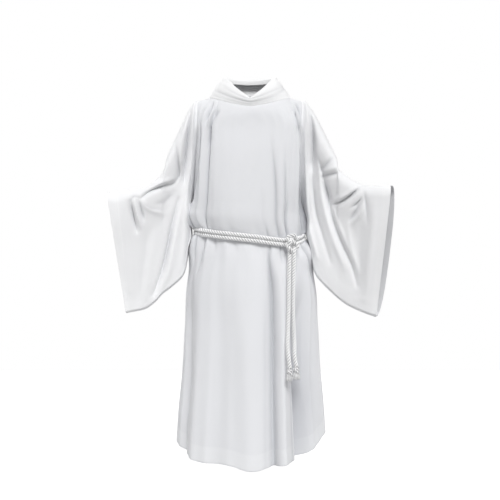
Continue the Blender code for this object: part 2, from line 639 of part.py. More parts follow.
def solid_from(source):
    """A closed mesh from a curve object, with its caps sewn on, in place of the curve."""
    graph = bpy.context.evaluated_depsgraph_get()
    mesh = bpy.data.meshes.new_from_object(source.evaluated_get(graph))
    sewn = bmesh.new()
    sewn.from_mesh(mesh)
    bmesh.ops.remove_doubles(sewn, verts=sewn.verts, dist=0.00001)
    sewn.to_mesh(mesh)
    sewn.free()
    name = source.name
    bpy.data.objects.remove(source)
    return bpy.data.objects.new(name, mesh)


def join_to(base, helper, helpers):
    """Unites a helper with a base object by a Boolean, and keeps it as a wire guide."""
    helpers.objects.link(helper)
    helper.hide_render = True
    helper.display_type = "WIRE"
    union = base.modifiers.new(helper.name, "BOOLEAN")
    union.operation = "UNION"
    union.object = helper


def build_knot(home, helpers, look):
    """The knot: a core, three turns of rope over it and the two stubs that the free ends go on from."""
    centre, axes = knot_frame()
    built = bmesh.new()
    bmesh.ops.create_uvsphere(built, u_segments=14, v_segments=8, radius=1.0)
    for vert in built.verts:
        vert.co = centre + (np.array(vert.co) * KNOT_CORE) @ axes
    bmesh.ops.recalc_face_normals(built, faces=built.faces)
    mesh = bpy.data.meshes.new("cincture_knot")
    built.to_mesh(mesh)
    built.free()
    mesh.shade_smooth()
    knot = add_object("cincture_knot", mesh, home, look)
    f = np.linspace(0, 1, 8)[:, None]
    ropes = []
    for arc in KNOT_ARCS:
        start, middle, end = np.array(arc).reshape(3, 3)
        bend = 2 * middle - (start + end) / 2
        curve = (1 - f) ** 2 * start + 2 * f * (1 - f) * bend + f**2 * end
        curve = centre + (curve - [0, 0, KNOT_CORE[2]]) @ axes
        ropes.append((curve, KNOT_ROPE))
    for which in (0, 1):
        tail = tail_points(which)
        back_up = (tail[0] - tail[1]) / np.linalg.norm(tail[0] - tail[1])
        foot = tail[0] + SEAM * back_up
        head = foot + STUB_TOP * back_up
        ropes.append((np.linspace(head, foot, 3), ROPE_RADIUS))
    for number, (line, radius) in enumerate(ropes):
        rope = add_rope(f"knot_turn_{number}", line, False, home, look)
        rope.data.bevel_depth = radius
        join_to(knot, solid_from(rope), helpers)


def build_tails(home, helpers, look):
    """The free ends, each a rope, a knotted head and the brush of yarn below it."""
    for which, name in enumerate(("inner", "outer")):
        line = tail_points(which)
        add_rope(f"cincture_tail_{name}", line, False, home, look)
        centre = line[-1] - [0, 0, TASSEL_HEAD + SEAM]
        built = bmesh.new()
        bmesh.ops.create_uvsphere(built, u_segments=12, v_segments=8, radius=TASSEL_HEAD)
        bmesh.ops.translate(built, verts=built.verts, vec=centre)
        mesh = bpy.data.meshes.new(f"cincture_tassel_{name}")
        built.to_mesh(mesh)
        built.free()
        mesh.shade_smooth()
        head = add_object(mesh.name, mesh, home, look)
        join_to(head, tassel_strands(f"strands_{name}", centre), helpers)


def tassel_strands(name, centre):
    """The yarns of a brush, which spread a little below the head."""
    built = bmesh.new()
    for ring in RINGS:
        for number in range(ring.yarns):
            turn = (number + 0.5) * math.tau / ring.yarns
            out = np.array([math.cos(turn), math.sin(turn), 0.0])
            root = centre + ring.radius * out - [0, 0, 0.0055]
            tip = root + ring.spread * out - [0, 0, STRAND_LENGTH - 0.0015 * (number % 3)]
            made = bmesh.ops.create_cone(
                built,
                cap_ends=True,
                segments=4,
                radius1=STRAND_TIP,
                radius2=STRAND_ROOT,
                depth=float(np.linalg.norm(root - tip)),
            )
            way = Vector(root - tip).to_track_quat("Z", "Y").to_matrix()
            bmesh.ops.rotate(built, verts=made["verts"], matrix=way)
            bmesh.ops.translate(built, verts=made["verts"], vec=(root + tip) / 2)
    mesh = bpy.data.meshes.new(name)
    built.to_mesh(mesh)
    built.free()
    return bpy.data.objects.new(name, mesh)


def main():
    for old in list(bpy.data.objects):
        bpy.data.objects.remove(old)
    home = bpy.data.collections.new(COLLECTION)
    helpers = bpy.data.collections.new("helpers")
    bpy.context.scene.collection.children.link(home)
    bpy.context.scene.collection.children.link(helpers)
    cloth = material("white_cloth", (0.86, 0.87, 0.89), 0.85)
    rope = material("white_rope", (0.88, 0.87, 0.84), 0.75)
    build_panels(home, cloth)
    build_sleeves(home, cloth)
    build_collar(home, cloth)
    build_cord(home, rope)
    build_knot(home, helpers, rope)
    build_tails(home, helpers, rope)


main()
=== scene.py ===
# %% [markdown]
# # An alb, cut by cut
# An alb is a long white vestment: a front and a back panel, two wide bell sleeves and a soft cowl collar,
# drawn in at the waist by a rope called a cincture. Nobody is inside it here: the cloth keeps the hollow
# form that it has when it is worn. This lesson builds each piece as a surface worked out with numpy.
# The packed solids are the frame: every piece is in metres in the same place as the solid that it dresses.

import math
from collections import namedtuple

import bmesh
import bpy
import numpy as np
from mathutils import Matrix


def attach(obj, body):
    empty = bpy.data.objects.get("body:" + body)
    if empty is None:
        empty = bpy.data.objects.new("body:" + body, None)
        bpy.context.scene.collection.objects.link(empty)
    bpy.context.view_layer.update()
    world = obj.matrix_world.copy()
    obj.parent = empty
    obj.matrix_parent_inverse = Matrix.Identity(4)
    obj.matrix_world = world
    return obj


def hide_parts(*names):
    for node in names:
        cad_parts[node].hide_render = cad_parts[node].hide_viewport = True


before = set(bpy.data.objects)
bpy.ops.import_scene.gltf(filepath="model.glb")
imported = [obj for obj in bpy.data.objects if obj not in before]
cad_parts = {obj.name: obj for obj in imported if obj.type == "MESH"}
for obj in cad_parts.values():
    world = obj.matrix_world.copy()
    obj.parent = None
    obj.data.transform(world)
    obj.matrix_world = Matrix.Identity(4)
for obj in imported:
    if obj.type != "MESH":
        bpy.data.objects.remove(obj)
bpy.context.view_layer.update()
print("solids:", ", ".join(sorted(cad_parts)))

# %% [markdown]
# ## The camera first
# The garment is 1.5 m tall and is seen from 5 m away at chest height, a little downwards. A long lens keeps
# the hem and the collar from spreading. The camera could come last, as on a real set, but it comes first
# here, because the free ends of the rope are judged by what it sees.

# %% Camera
CAMERA_PLACE = (0.0, -5.0, -0.36)
CAMERA_TILT = math.radians(87.3)
CAMERA_LENS = 90.68
CAMERA_SENSOR = 36.0


def placed(name, data):
    """A new object with its data, linked to the scene."""
    made = bpy.data.objects.new(name, data)
    bpy.context.scene.collection.objects.link(made)
    return made


camera_data = bpy.data.cameras.new("camera")
camera_data.lens = CAMERA_LENS
camera_data.sensor_width = CAMERA_SENSOR
camera = placed("camera", camera_data)
camera.location = CAMERA_PLACE
camera.rotation_euler = (CAMERA_TILT, 0.0, 0.0)
bpy.context.scene.camera = camera
print("camera at", CAMERA_PLACE, "with a lens of", CAMERA_LENS, "mm")

# %% [markdown]
# ## Curves through short tables
# A maker marks a pattern with a few measured points and joins them with a smooth line. The helpers here do
# the same: one eases from 0 to 1, the other draws a cubic through the rows of a table. Blender's own curve
# objects could do it too, but a formula in numpy answers for a whole grid at once.

# %% Helpers for curves


def smooth(value):
    """An S-curve: 0 up to 0, 1 from 1 on, and 3 v^2 - 2 v^3 between."""
    value = np.clip(value, 0.0, 1.0)
    return value * value * (3 - 2 * value)


def through(keys, values, at):
    """A cubic between each two rows of a table, with the mean slope of the neighbours at each row."""
    keys = np.asarray(keys, float)
    values = np.asarray(values, float)
    slopes = np.gradient(values, keys, axis=0)
    at = np.clip(np.asarray(at, float), keys[0], keys[-1])
    low = np.clip(np.searchsorted(keys, at) - 1, 0, len(keys) - 2)
    span = keys[low + 1] - keys[low]
    f = (at - keys[low]) / span
    if values.ndim > 1:
        f, span = f[..., None], span[..., None]
    return (
        (2 * f**3 - 3 * f**2 + 1) * values[low]
        + (f**3 - 2 * f**2 + f) * span * slopes[low]
        + (3 * f**2 - 2 * f**3) * values[low + 1]
        + (f**3 - f**2) * span * slopes[low + 1]
    )


def columns_of(table, *names):
    """The named columns of a table, each as an array."""
    return [np.array([getattr(row, name) for row in table]) for name in names]


def unit(vectors):
    """Vectors divided by their own length."""
    return vectors / np.maximum(np.linalg.norm(vectors, axis=-1, keepdims=True), 1e-9)


def lengths_along(line):
    """The length of a line of points up to each point."""
    steps = np.linalg.norm(np.diff(line, axis=0), axis=1)
    return np.concatenate([[0], np.cumsum(steps)])


def turned(degrees):
    """An angle brought between -180 and 180 degrees."""
    return (degrees + 180) % 360 - 180


print("the S-curve in four steps:", smooth(np.linspace(0, 1, 5)))

# %% [markdown]
# ## The body of the garment
# A bearing is an angle round the body: 0 at the middle of the front, 90 at the wearer's left side, 180 at
# the back. A drop is a depth below the shoulder line. Round each level the cloth follows a rounded
# rectangle. Such a form could also be sculpted or draped, but a table of girths can be changed one level
# at a time, as a tailor would, and folds then push the form in and out.

# %% Sizes of the body
WALL = 0.0015
HEM_DROP = 1.432
CHEST_DROP = 0.12
UNDERARM_DROP = 0.44
CORD_DROP = 0.537
CORD_LIFT = 0.020
CORD_SAG = 0.024
KNOT_BEARING = 41.5
SHOULDER_END = 0.200
SHOULDER_FALL = 0.008
NECK_SHARE = 0.76

Section = namedtuple("Section", "drop centre half_width front back squareness")
SECTIONS = (
    Section(0.12, -0.003, 0.203, 0.122, 0.118, 3.2),
    Section(0.20, -0.006, 0.204, 0.138, 0.130, 3.0),
    Section(0.30, -0.010, 0.207, 0.150, 0.140, 2.8),
    Section(0.40, -0.014, 0.211, 0.158, 0.147, 2.5),
    Section(0.47, -0.018, 0.213, 0.160, 0.150, 2.3),
    Section(0.505, -0.012, 0.210, 0.153, 0.143, 2.3),
    Section(0.537, -0.002, 0.203, 0.143, 0.133, 2.3),
    Section(0.565, 0.000, 0.206, 0.147, 0.137, 2.3),
    Section(0.62, 0.001, 0.221, 0.160, 0.150, 2.2),
    Section(0.70, 0.003, 0.247, 0.175, 0.170, 2.2),
    Section(0.90, 0.006, 0.260, 0.195, 0.205, 2.2),
    Section(1.10, 0.006, 0.265, 0.210, 0.222, 2.2),
    Section(1.30, 0.005, 0.279, 0.225, 0.238, 2.2),
    Section(1.432, 0.005, 0.287, 0.233, 0.246, 2.2),
)
Hem = namedtuple("Hem", "bearing rise")
HEM = (
    Hem(-180, 0.012), Hem(-145, 0.018), Hem(-110, 0.068), Hem(-90, 0.084),
    Hem(-68, 0.052), Hem(-42, 0.026), Hem(-15, 0.020), Hem(0, 0.002),
    Hem(16, 0.016), Hem(32, 0.028), Hem(54, 0.034), Hem(72, 0.086),
    Hem(92, 0.128), Hem(118, 0.080), Hem(148, 0.020), Hem(180, 0.012),
)
hem_top = HEM_DROP - max(row.rise for row in HEM)
print("the hem is", round(hem_top, 3), "to", HEM_DROP, "m below the shoulders")

# %% [markdown]
# ## The armholes
# An armhole is a slit between the front and the back, from the shoulder down to the underarm. The two
# panels don't meet there. The table says how far before and behind the middle their edges lie.

# %% Armholes
Armhole = namedtuple("Armhole", "drop before behind")
ARMHOLE = (
    Armhole(0.12, 0.072, 0.070),
    Armhole(0.20, 0.060, 0.062),
    Armhole(0.28, 0.047, 0.050),
    Armhole(0.345, 0.033, 0.036),
    Armhole(0.39, 0.018, 0.020),
    Armhole(0.42, 0.006, 0.007),
    Armhole(0.44, 0.0, 0.0),
)
print("the armholes gape", ARMHOLE[0].before + ARMHOLE[0].behind, "m at the chest")

# %% [markdown]
# ## Folds
# Cloth that hangs from the shoulders or out of a tight rope falls in folds. A cloth simulation would find
# folds of its own, but here each one is listed, so that it lies where it is wanted. A row is one
# fold: the bearings where it starts and ends, then in millimetres the drops where it starts, is full and dies
# out (9000 runs on to the hem), its half width and its depth (a ridge if positive), then how crisp it is from
# 0 to 1, and how many millimetres it laps over to one side. A lapped fold hides part of itself, which is what
# gives real cloth its short dark lines.

# %% Main folds, in millimetres
Fold = namedtuple("Fold", "high low start full end half_width depth crisp lap", defaults=(0.0, 0.0))
MAIN_FOLDS = (
    Fold(-39, -49, 60, 160, 580, 10, -18, 0.7, 5),
    Fold(-56, -54, 40, 150, 570, 16, 10, 0.2),
    Fold(12, 36, 100, 340, 580, 9, -9, 0.8, 4),
    Fold(33, 47, 160, 340, 580, 8, -9, 0.8, 4),
    Fold(24, 42, 120, 400, 600, 20, 6),
    Fold(17, 16, 550, 740, 9000, 19, -30, 0.4),
    Fold(25, 24, 580, 1000, 9000, 28, 24),
    Fold(51, 50, 600, 1100, 9000, 64, -95, 0.25),
    Fold(84, 84, 600, 1200, 9000, 40, 14),
    Fold(-24, -27, 560, 900, 9000, 50, -12),
    Fold(-4, 0, 600, 1000, 9000, 45, 14),
    Fold(-50, -50, 580, 1100, 9000, 40, 12),
    Fold(-66, -68, 580, 1200, 9000, 30, -42, 0.0),
    Fold(-84, -84, 600, 1200, 9000, 40, 12),
    Fold(-112, -116, 580, 1100, 9000, 40, -46, 0.2),
    Fold(-138, -140, 560, 1000, 9000, 50, 18),
    Fold(-163, -166, 560, 900, 9000, 28, -34, 0.5),
    Fold(172, 176, 580, 1000, 9000, 45, 14),
    Fold(150, 148, 560, 900, 9000, 32, -38, 0.5),
    Fold(128, 126, 580, 1100, 9000, 45, 16),
    Fold(108, 106, 600, 1150, 9000, 38, -42, 0.2),
    Fold(165, 158, 100, 350, 600, 14, -10, 0.7, 4),
    Fold(-160, -150, 140, 350, 600, 14, -10, 0.7, -4),
    Fold(-128, -136, 50, 250, 580, 12, -14, 0.7, -4),
    Fold(130, 136, 50, 250, 580, 12, -14, 0.7, 4),
)
print(len(MAIN_FOLDS), "main folds")

# %% Fine folds, in millimetres
FINE_FOLDS = (
    # Pleats below the shoulders and the neck.
    Fold(-48, -48, 8, 22, 115, 6.5, -16, 0.9, 4),
    Fold(-34, -47, 40, 66, 220, 6.5, -13, 0.9, 4),
    Fold(-42, -44, 40, 75, 230, 7, 6, 0.3),
    Fold(-64, -60, 20, 60, 220, 7, -6, 0.8, -3),
    Fold(77, 74, 20, 60, 200, 7, -16, 0.9, -4),
    Fold(60, 72, 50, 80, 190, 6, -12, 0.9, -4),
    Fold(66, 68, 60, 100, 220, 7, 7, 0.3),
    Fold(56, 60, 35, 60, 160, 6, -4, 0.7),
    # The deep grooves beside the body, where the sleeves are set in, and the ridges next to them.
    Fold(-58, -94, 110, 190, 540, 12, -30, 0.6, -4),
    Fold(80, 74, 100, 200, 580, 10, -30, 0.85, -5),
    Fold(67, 60, 140, 280, 570, 14, 9, 0.2),
    Fold(84, 82, 340, 440, 570, 22, -14, 0.4),
    # Long soft creases of the chest, out towards the knot and the sides.
    Fold(45, 45, 340, 440, 570, 7, -12, 0.8, 3),
    Fold(-34, -36, 220, 400, 600, 14, -2, 0.5),
    Fold(6, 22, 260, 420, 600, 12, -2, 0.6),
    Fold(-74, -68, 360, 420, 580, 8, -10, 0.7, 3),
    # Gathers that run out of the rope, above and below it.
    Fold(-71, -66, 460, 510, 680, 7, -9, 0.8, 3),
    Fold(-52, -60, 500, 560, 720, 7, -11, 0.8, 3),
    Fold(-47, -50, 500, 560, 680, 7, 5, 0.2),
    Fold(-40, -37, 490, 530, 620, 7, -4, 0.6),
    Fold(-14, -12, 490, 530, 610, 7, -2, 0.6),
    Fold(18, 19, 460, 520, 600, 5, -6, 0.8, 2),
    Fold(33, 32, 470, 530, 660, 7, -5, 0.7, -2),
    Fold(50, 48, 490, 540, 700, 8, -6, 0.7, -3),
    Fold(64, 82, 530, 580, 780, 8, -16, 0.8, -4),
    Fold(76, 78, 470, 520, 720, 10, -8, 0.6, 3),
    Fold(100, 98, 450, 520, 740, 9, -8, 0.7, 3),
    Fold(118, 121, 450, 530, 700, 9, -8, 0.7, 3),
    Fold(141, 140, 460, 530, 760, 9, -8, 0.7, -3),
    Fold(157, 160, 470, 530, 680, 8, -6, 0.7),
    Fold(178, 180, 460, 530, 740, 9, -8, 0.7, 3),
    Fold(-170, -172, 470, 530, 660, 8, -6, 0.7),
    Fold(-152, -150, 460, 530, 740, 9, -8, 0.7, 3),
    Fold(-125, -124, 460, 530, 680, 8, -7, 0.7, -3),
    Fold(-100, -97, 450, 520, 740, 10, -9, 0.7, 3),
    Fold(-86, -88, 450, 520, 660, 9, -7, 0.6),
    # Long falls of the skirt that the main folds leave between them.
    Fold(17, 17, 545, 600, 9000, 6, -10, 0.9, 3),
    Fold(11, 10, 600, 950, 9000, 12, -4, 0.6, -3),
    Fold(20, 19, 900, 1250, 9000, 14, 4, 0.2),
    Fold(35, 33, 600, 1000, 9000, 10, -8, 0.8, 5),
    Fold(58, 60, 700, 1050, 9000, 14, 7, 0.2),
    Fold(66, 64, 600, 950, 9000, 14, 8, 0.2),
    Fold(-12, -13, 750, 1200, 9000, 30, -3, 0.2),
    Fold(-35, -37, 700, 1150, 9000, 26, 4, 0.2),
    Fold(-66, -68, 600, 1200, 9000, 30, 22),
    Fold(-58, -59, 620, 1000, 9000, 16, -3, 0.6, 3),
    Fold(-76, -76, 660, 1050, 9000, 16, 5, 0.2),
    Fold(-94, -95, 620, 1000, 9000, 16, -9, 0.6, 3),
    Fold(-126, -128, 620, 1050, 9000, 16, -8, 0.6, -3),
    Fold(-150, -153, 620, 1000, 9000, 16, 5, 0.2),
    Fold(-176, -176, 620, 1050, 9000, 16, -8, 0.6, 3),
    Fold(163, 164, 620, 1000, 9000, 16, 5, 0.2),
    Fold(139, 138, 620, 1050, 9000, 16, -7, 0.6, -3),
    Fold(118, 116, 640, 1050, 9000, 16, 5, 0.2),
    Fold(97, 96, 620, 1000, 9000, 16, -8, 0.6, 3),
)
print(len(FINE_FOLDS), "fine folds")

# %% [markdown]
# ## Slack cloth at the waist, and painted shade
# Above and below a tight rope the cloth hangs slack and bulges over it: a tailor says that it blouses. A
# blouse is a soft swelling round one spot. A recess is a spot where little light comes in between two
# layers, so shade is painted there into the cloth's colour, as it is into deep folds and grooves. This
# painted shade travels with the cloth, so it is the same from every side, unlike a shadow painted for one
# camera.

# %% Recesses with painted shade, blouses and gathers
Recess = namedtuple("Recess", "bearing drop spread height hollow")
PAINTED_SHADE_RECESSES = (
    Recess(84, 0.440, 17, 0.090, 1.0),
    Recess(79, 0.520, 15, 0.035, 1.0),
    Recess(46, 0.850, 10, 0.180, 0.25),
    Recess(56, 1.200, 15, 0.220, 0.50),
    Recess(-88, 0.430, 12, 0.060, 0.55),
    Recess(-92, 0.520, 14, 0.030, 0.55),
)
Blouse = namedtuple("Blouse", "bearing drop spread height out")
BLOUSES = (
    Blouse(92, 0.490, 24, 0.075, 0.040),
    Blouse(-79, 0.490, 20, 0.080, 0.028),
    Blouse(81, 0.600, 22, 0.060, 0.042),
    Blouse(-92, 0.600, 34, 0.060, 0.030),
    Blouse(180, 0.470, 60, 0.050, 0.010),
)
GATHERS = 14
GATHER_DEPTH = 0.0035
GATHER_WAVER = 1.3
GATHER_HEIGHT = 0.075
print(len(PAINTED_SHADE_RECESSES), "recesses,", len(BLOUSES), "blouses,", GATHERS, "gathers")

# %% [markdown]
# ## From folds to pushes
# A fold is a bell-shaped profile laid across its own line. The sum of all bells is how far the cloth is
# pushed out at each point, and a second sum is how far it is pushed round. Arrays of bearings and drops go
# through these functions whole, so a panel of 50,000 points takes one call.

# %% The profile of a fold
BELL_TOP = 0.15
BELL_FALL = 1.3


def bell(away, crisp):
    """A fold's profile over its distance a: 1 / (1 + a^2)^2 if soft, and about exp(-1.3 a) with a small round
    top if crisp. Between the two it is their weighted mean."""
    soft = 1 / (1 + away**2) ** 2
    tight = np.exp(BELL_FALL * (BELL_TOP - np.hypot(away, BELL_TOP)))
    return soft + (tight - soft) * crisp


def bump(spot, bearing, drop):
    """1 at a spot's bearing and drop, and down to 0 away from it: exp(-across^2 - down^2)."""
    across = turned(bearing - spot.bearing) / spot.spread
    down = (drop - spot.drop) / spot.height
    return np.exp(-(across**2) - down**2)


print("a crisp fold at 0, 1 and 2 half widths:", np.round(bell(np.arange(3.0), 1.0), 2))

# %% Where a fold lies
LONGEST_FADE = 0.10
LAP_NARROWING = 0.8


def fold_place(fold, bearing, drop, radius):
    """How far a point lies across a fold, in half widths, and how strong the fold is at its drop."""
    start, full, end, half_width = (length / 1000 for length in fold[2:6])
    if end < HEM_DROP:
        along = np.clip((drop - start) / (end - start), 0, 1)
    else:
        along = smooth((drop - start) / (HEM_DROP - start))
    middle = fold.high + (fold.low - fold.high) * along
    away = np.radians(turned(bearing - middle)) * radius / half_width
    fade = min(LONGEST_FADE, 0.5 * (end - full))
    return away, smooth((drop - start) / (full - start)) * smooth((end - drop) / fade)


def fold_push(folds, bearing, drop, radius, plain=False):
    """How far folds push the cloth out, and how far round, at a bearing and a drop: the sum of depth times
    bell, and of lap times bell, over the folds. Plain folds are all soft and lap over nothing."""
    out = np.zeros(np.broadcast(bearing, drop).shape)
    sideways = np.zeros(out.shape)
    for fold in folds:
        away, strength = fold_place(fold, bearing, drop, radius)
        out = out + fold.depth / 1000 * strength * bell(away, 0.0 if plain else fold.crisp)
        lap = 0.0 if plain else fold.lap / 1000
        sideways = sideways + lap * strength * bell(away * LAP_NARROWING, 0.0)
    return out, sideways


first_strength = fold_place(MAIN_FOLDS[0], -44.0, 0.30, 0.2)[1]
print("at a drop of 0.3 m the first fold has", round(float(first_strength), 2), "of its depth")

# %% How much shade is painted into a fold
SOFT_PAINTED_SHADE = 0.15
CRISP_PAINTED_SHADE = 0.75
GROOVE_PAINTED_SHADE = 0.8
GROOVE_SPREAD = 9


def off_seam(bearing):
    """How many degrees a bearing is away from the nearer side seam."""
    return np.abs(90 - np.abs(turned(bearing)))


def valley_painted_shade(depth, half_width, crisp, shape):
    """How much shade is painted into a valley, from 0 to about 1, as it is hidden from the light: steep and
    crisp ones most.
    """
    steep = min(max(-depth, 0.0) / half_width, 1.0)
    return steep * (SOFT_PAINTED_SHADE + CRISP_PAINTED_SHADE * crisp) * shape**1.5


def body_painted_shade(bearing, drop, radius):
    """The shade painted into all folds of the body at a bearing and a drop, into the grooves at its armholes,
    which run from a drop of 0.10 to 0.60, and into its recesses."""
    total = np.zeros(np.broadcast(bearing, drop).shape)
    for fold in MAIN_FOLDS + FINE_FOLDS:
        away, strength = fold_place(fold, bearing, drop, radius)
        total = total + valley_painted_shade(fold.depth, fold.half_width, fold.crisp, strength * bell(away, fold.crisp))
    # Shade is also painted along the groove at each armhole and into the recesses.
    groove = np.exp(-((off_seam(bearing) / GROOVE_SPREAD) ** 2))
    total = total + GROOVE_PAINTED_SHADE * groove * smooth((drop - 0.10) / 0.12) * smooth((0.60 - drop) / 0.08)
    for recess in PAINTED_SHADE_RECESSES:
        total = total + recess.hollow * bump(recess, bearing, drop)
    return np.clip(total, 0, 1)


print("the groove at the armhole is", round(float(body_painted_shade(90.0, 0.30, 0.2)), 2), "hollow")

# %% Ripples, and all pushes together
RIPPLES = 10
RIPPLE_DEPTH = 0.00055
BODY_SEED = 11
PINCH = 0.9


def ripples(across, along, seed, finest=34):
    """Slight unevenness: a sum of sines whose crests mostly run down the cloth, with seeded phases."""
    draw = np.random.default_rng(seed)
    total = np.zeros(np.broadcast(across, along).shape)
    for _ in range(RIPPLES):
        turns = draw.integers(5, finest)
        slant = draw.uniform(-7, 7)
        phase = draw.uniform(0, math.tau)
        total = total + draw.uniform(0.4, 1.0) * np.sin(turns * across + slant * along + phase)
    return total * RIPPLE_DEPTH


def pinch(drop, height):
    """What the cord leaves of a push: 0.1 at the cord, and 1 away from it."""
    return 1 - PINCH * np.exp(-(((drop - CORD_DROP) / height) ** 2))


def body_push(bearing, drop, radius, plain=False):
    """Main folds, fine folds, gathers at the cord, blouses and ripples together, out and round. The plain
    body has the main folds and the gathers alone, as the packed solids have."""
    out, sideways = fold_push(MAIN_FOLDS, bearing, drop, radius, plain)
    held = pinch(drop, 0.020)
    near = np.exp(-(((drop - CORD_DROP - 0.03) / GATHER_HEIGHT) ** 2))
    turn = np.radians(bearing) * GATHERS + GATHER_WAVER * np.sin(np.radians(2 * bearing + 40))
    out = out * held + GATHER_DEPTH * near * held * np.cos(turn)
    if plain:
        return out, sideways
    fine, fine_sideways = fold_push(FINE_FOLDS, bearing, drop, radius)
    uneven = ripples(np.radians(bearing), drop, BODY_SEED)
    for blouse in BLOUSES:
        out = out + blouse.out * pinch(drop, 0.013) * bump(blouse, bearing, drop)
    return out + (fine + uneven) * held, (sideways + fine_sideways) * held


print("the cord leaves", round(float(pinch(CORD_DROP, 0.020)), 2), "of the folds under it")

# %% [markdown]
# ## The cord's line and the body's surface
# The rope isn't level: it rides up at the wearer's right side and sags near the knot. The cloth near it
# tilts with it. The surface of the body is one function of bearing and drop, and every later piece, from
# the panels to the stitches, reads its place from that function.

# %% The body's surface
LIFT_SPREAD = 60.0
SAG_SPREAD = 38.0
TILT_HEIGHT = 0.12
HEM_RISE_START = 0.7
LEAST_DEPTH = 0.03


def cord_height(bearing):
    """The height of the cord: higher at the wearer's right side, and lowest near the knot."""
    lift = CORD_LIFT * np.exp(-((turned(bearing + 90) / LIFT_SPREAD) ** 2))
    sag = CORD_SAG * np.exp(-((turned(bearing - KNOT_BEARING) / SAG_SPREAD) ** 2))
    return -CORD_DROP + lift - sag


def body_point(bearing, drop, out=0.0, back=None, plain=False):
    """Points of the body: a rounded rectangle at each drop, pushed out along its normal by the folds and out,
    moved round it by the laps, tilted with the cord at the waist and raised to the hem line below."""
    bearing, drop = np.broadcast_arrays(np.asarray(bearing, float), np.asarray(drop, float))
    drops, *rest = columns_of(SECTIONS, *Section._fields)
    centre, half_width, ahead, behind, square = (through(drops, column, drop) for column in rest)
    is_front = np.cos(np.radians(bearing)) >= 0 if back is None else np.full(bearing.shape, not back)
    depth = np.where(is_front, ahead, behind)
    push, sideways = body_push(bearing, drop, (half_width + depth) / 2, plain)
    shift = np.degrees(sideways / (half_width + depth) * 2) * smooth(off_seam(bearing) / 8)
    angle = np.radians(bearing + shift)
    sine, cosine = np.sin(angle), np.cos(angle)
    seam_drop, *seam = columns_of(ARMHOLE, *Armhole._fields)
    edge = through(seam_drop, np.column_stack(seam), drop)
    edge = np.where(is_front, edge[..., 0], edge[..., 1])
    edge = np.where(drop >= UNDERARM_DROP, 0.0, np.maximum(edge, 0.0))
    power = 2 / square
    x = half_width * np.sign(sine) * np.abs(sine) ** power
    y = edge + (depth - edge) * np.abs(cosine) ** power
    normal_x = np.sign(sine) * np.abs(sine) ** (2 - power) / half_width
    normal_y = np.abs(cosine) ** (2 - power) / np.maximum(depth - edge, LEAST_DEPTH)
    length = np.hypot(normal_x, normal_y)
    push = push + out
    x = centre + x + push * normal_x / length
    y = np.where(is_front, -1, 1) * (y + push * normal_y / length)
    tilt = (cord_height(bearing) + CORD_DROP) * np.exp(-(((drop - CORD_DROP) / TILT_HEIGHT) ** 2))
    rise = through(*columns_of(HEM, *Hem._fields), turned(bearing))
    lifted = smooth((drop - HEM_RISE_START) / (HEM_DROP - HEM_RISE_START)) ** 1.5
    return np.stack([x, y, -drop + tilt + rise * lifted], axis=-1)


print("the middle of the hem in front:", np.round(body_point(0.0, HEM_DROP), 3))

# %% [markdown]
# ## The neck and the yoke
# The collar is a band of loops that rise from the neck seam, roll outwards and fold over at the top. The
# yoke is the cloth between that seam, the shoulders and the chest. It could be cut out of the body's own
# surface, but that surface is flat on top. So each of its columns is a Bezier curve instead, which leaves the
# seam over the shoulder and arrives along the slope of the chest.

# %% Collar loops
Loop = namedtuple("Loop", "side front back side_height front_height back_height")
COLLAR = (
    Loop(0.156, 0.097, 0.078, 0.006, -0.031, 0.020),
    Loop(0.150, 0.104, 0.084, 0.024, -0.021, 0.038),
    Loop(0.134, 0.108, 0.082, 0.047, -0.008, 0.058),
    Loop(0.114, 0.105, 0.074, 0.071, 0.003, 0.075),
    Loop(0.099, 0.098, 0.065, 0.085, 0.008, 0.083),
    Loop(0.089, 0.092, 0.058, 0.080, 0.001, 0.076),
    Loop(0.086, 0.090, 0.056, 0.063, -0.012, 0.060),
)
NECK_RISE = 1.4


def neck_point(loop, bearing):
    """A collar loop: an ellipse in plan whose height goes from the front's to the sides' by |sin|^1.4."""
    angle = np.radians(bearing)
    sine, cosine = np.abs(np.sin(angle)), np.cos(angle)
    ahead = cosine >= 0
    y = np.where(ahead, -loop.front * cosine, -loop.back * cosine)
    low = np.where(ahead, loop.front_height, loop.back_height)
    z = low + (loop.side_height - low) * sine**NECK_RISE
    return np.stack([loop.side * np.sin(angle), y, z], axis=-1)


print(len(COLLAR), "collar loops, and the neck seam in front at", np.round(neck_point(COLLAR[0], 0.0), 3))

# %% The yoke
YOKE_REACH = 0.36
YOKE_RADIUS = 0.17


def bearing_of(share, back):
    """The bearing of a share of the way from side seam to side seam, where 0 is the middle of the panel."""
    return 180 - 90 * share if back else 90 * share


def yoke_top(share, back):
    """The top edge of a panel from armhole to armhole: shoulder seam, neck seam, shoulder seam."""
    size = np.abs(share)
    neck_bearing = np.sign(share) * np.minimum(size / NECK_SHARE, 1) * 90
    neck = neck_point(COLLAR[0], np.where(back, 180 - neck_bearing, neck_bearing))
    along = np.clip((size - NECK_SHARE) / (1 - NECK_SHARE), 0, 1)[..., None]
    side = np.sign(share)[..., None]
    corner = side * np.array([SHOULDER_END, 0, 0]) + np.array([0, 0, -SHOULDER_FALL])
    corner = np.broadcast_to(corner, neck.shape)
    top = neck + (corner - neck) * along
    top[..., 1] = np.where(size > NECK_SHARE, 0.0, top[..., 1])
    return top


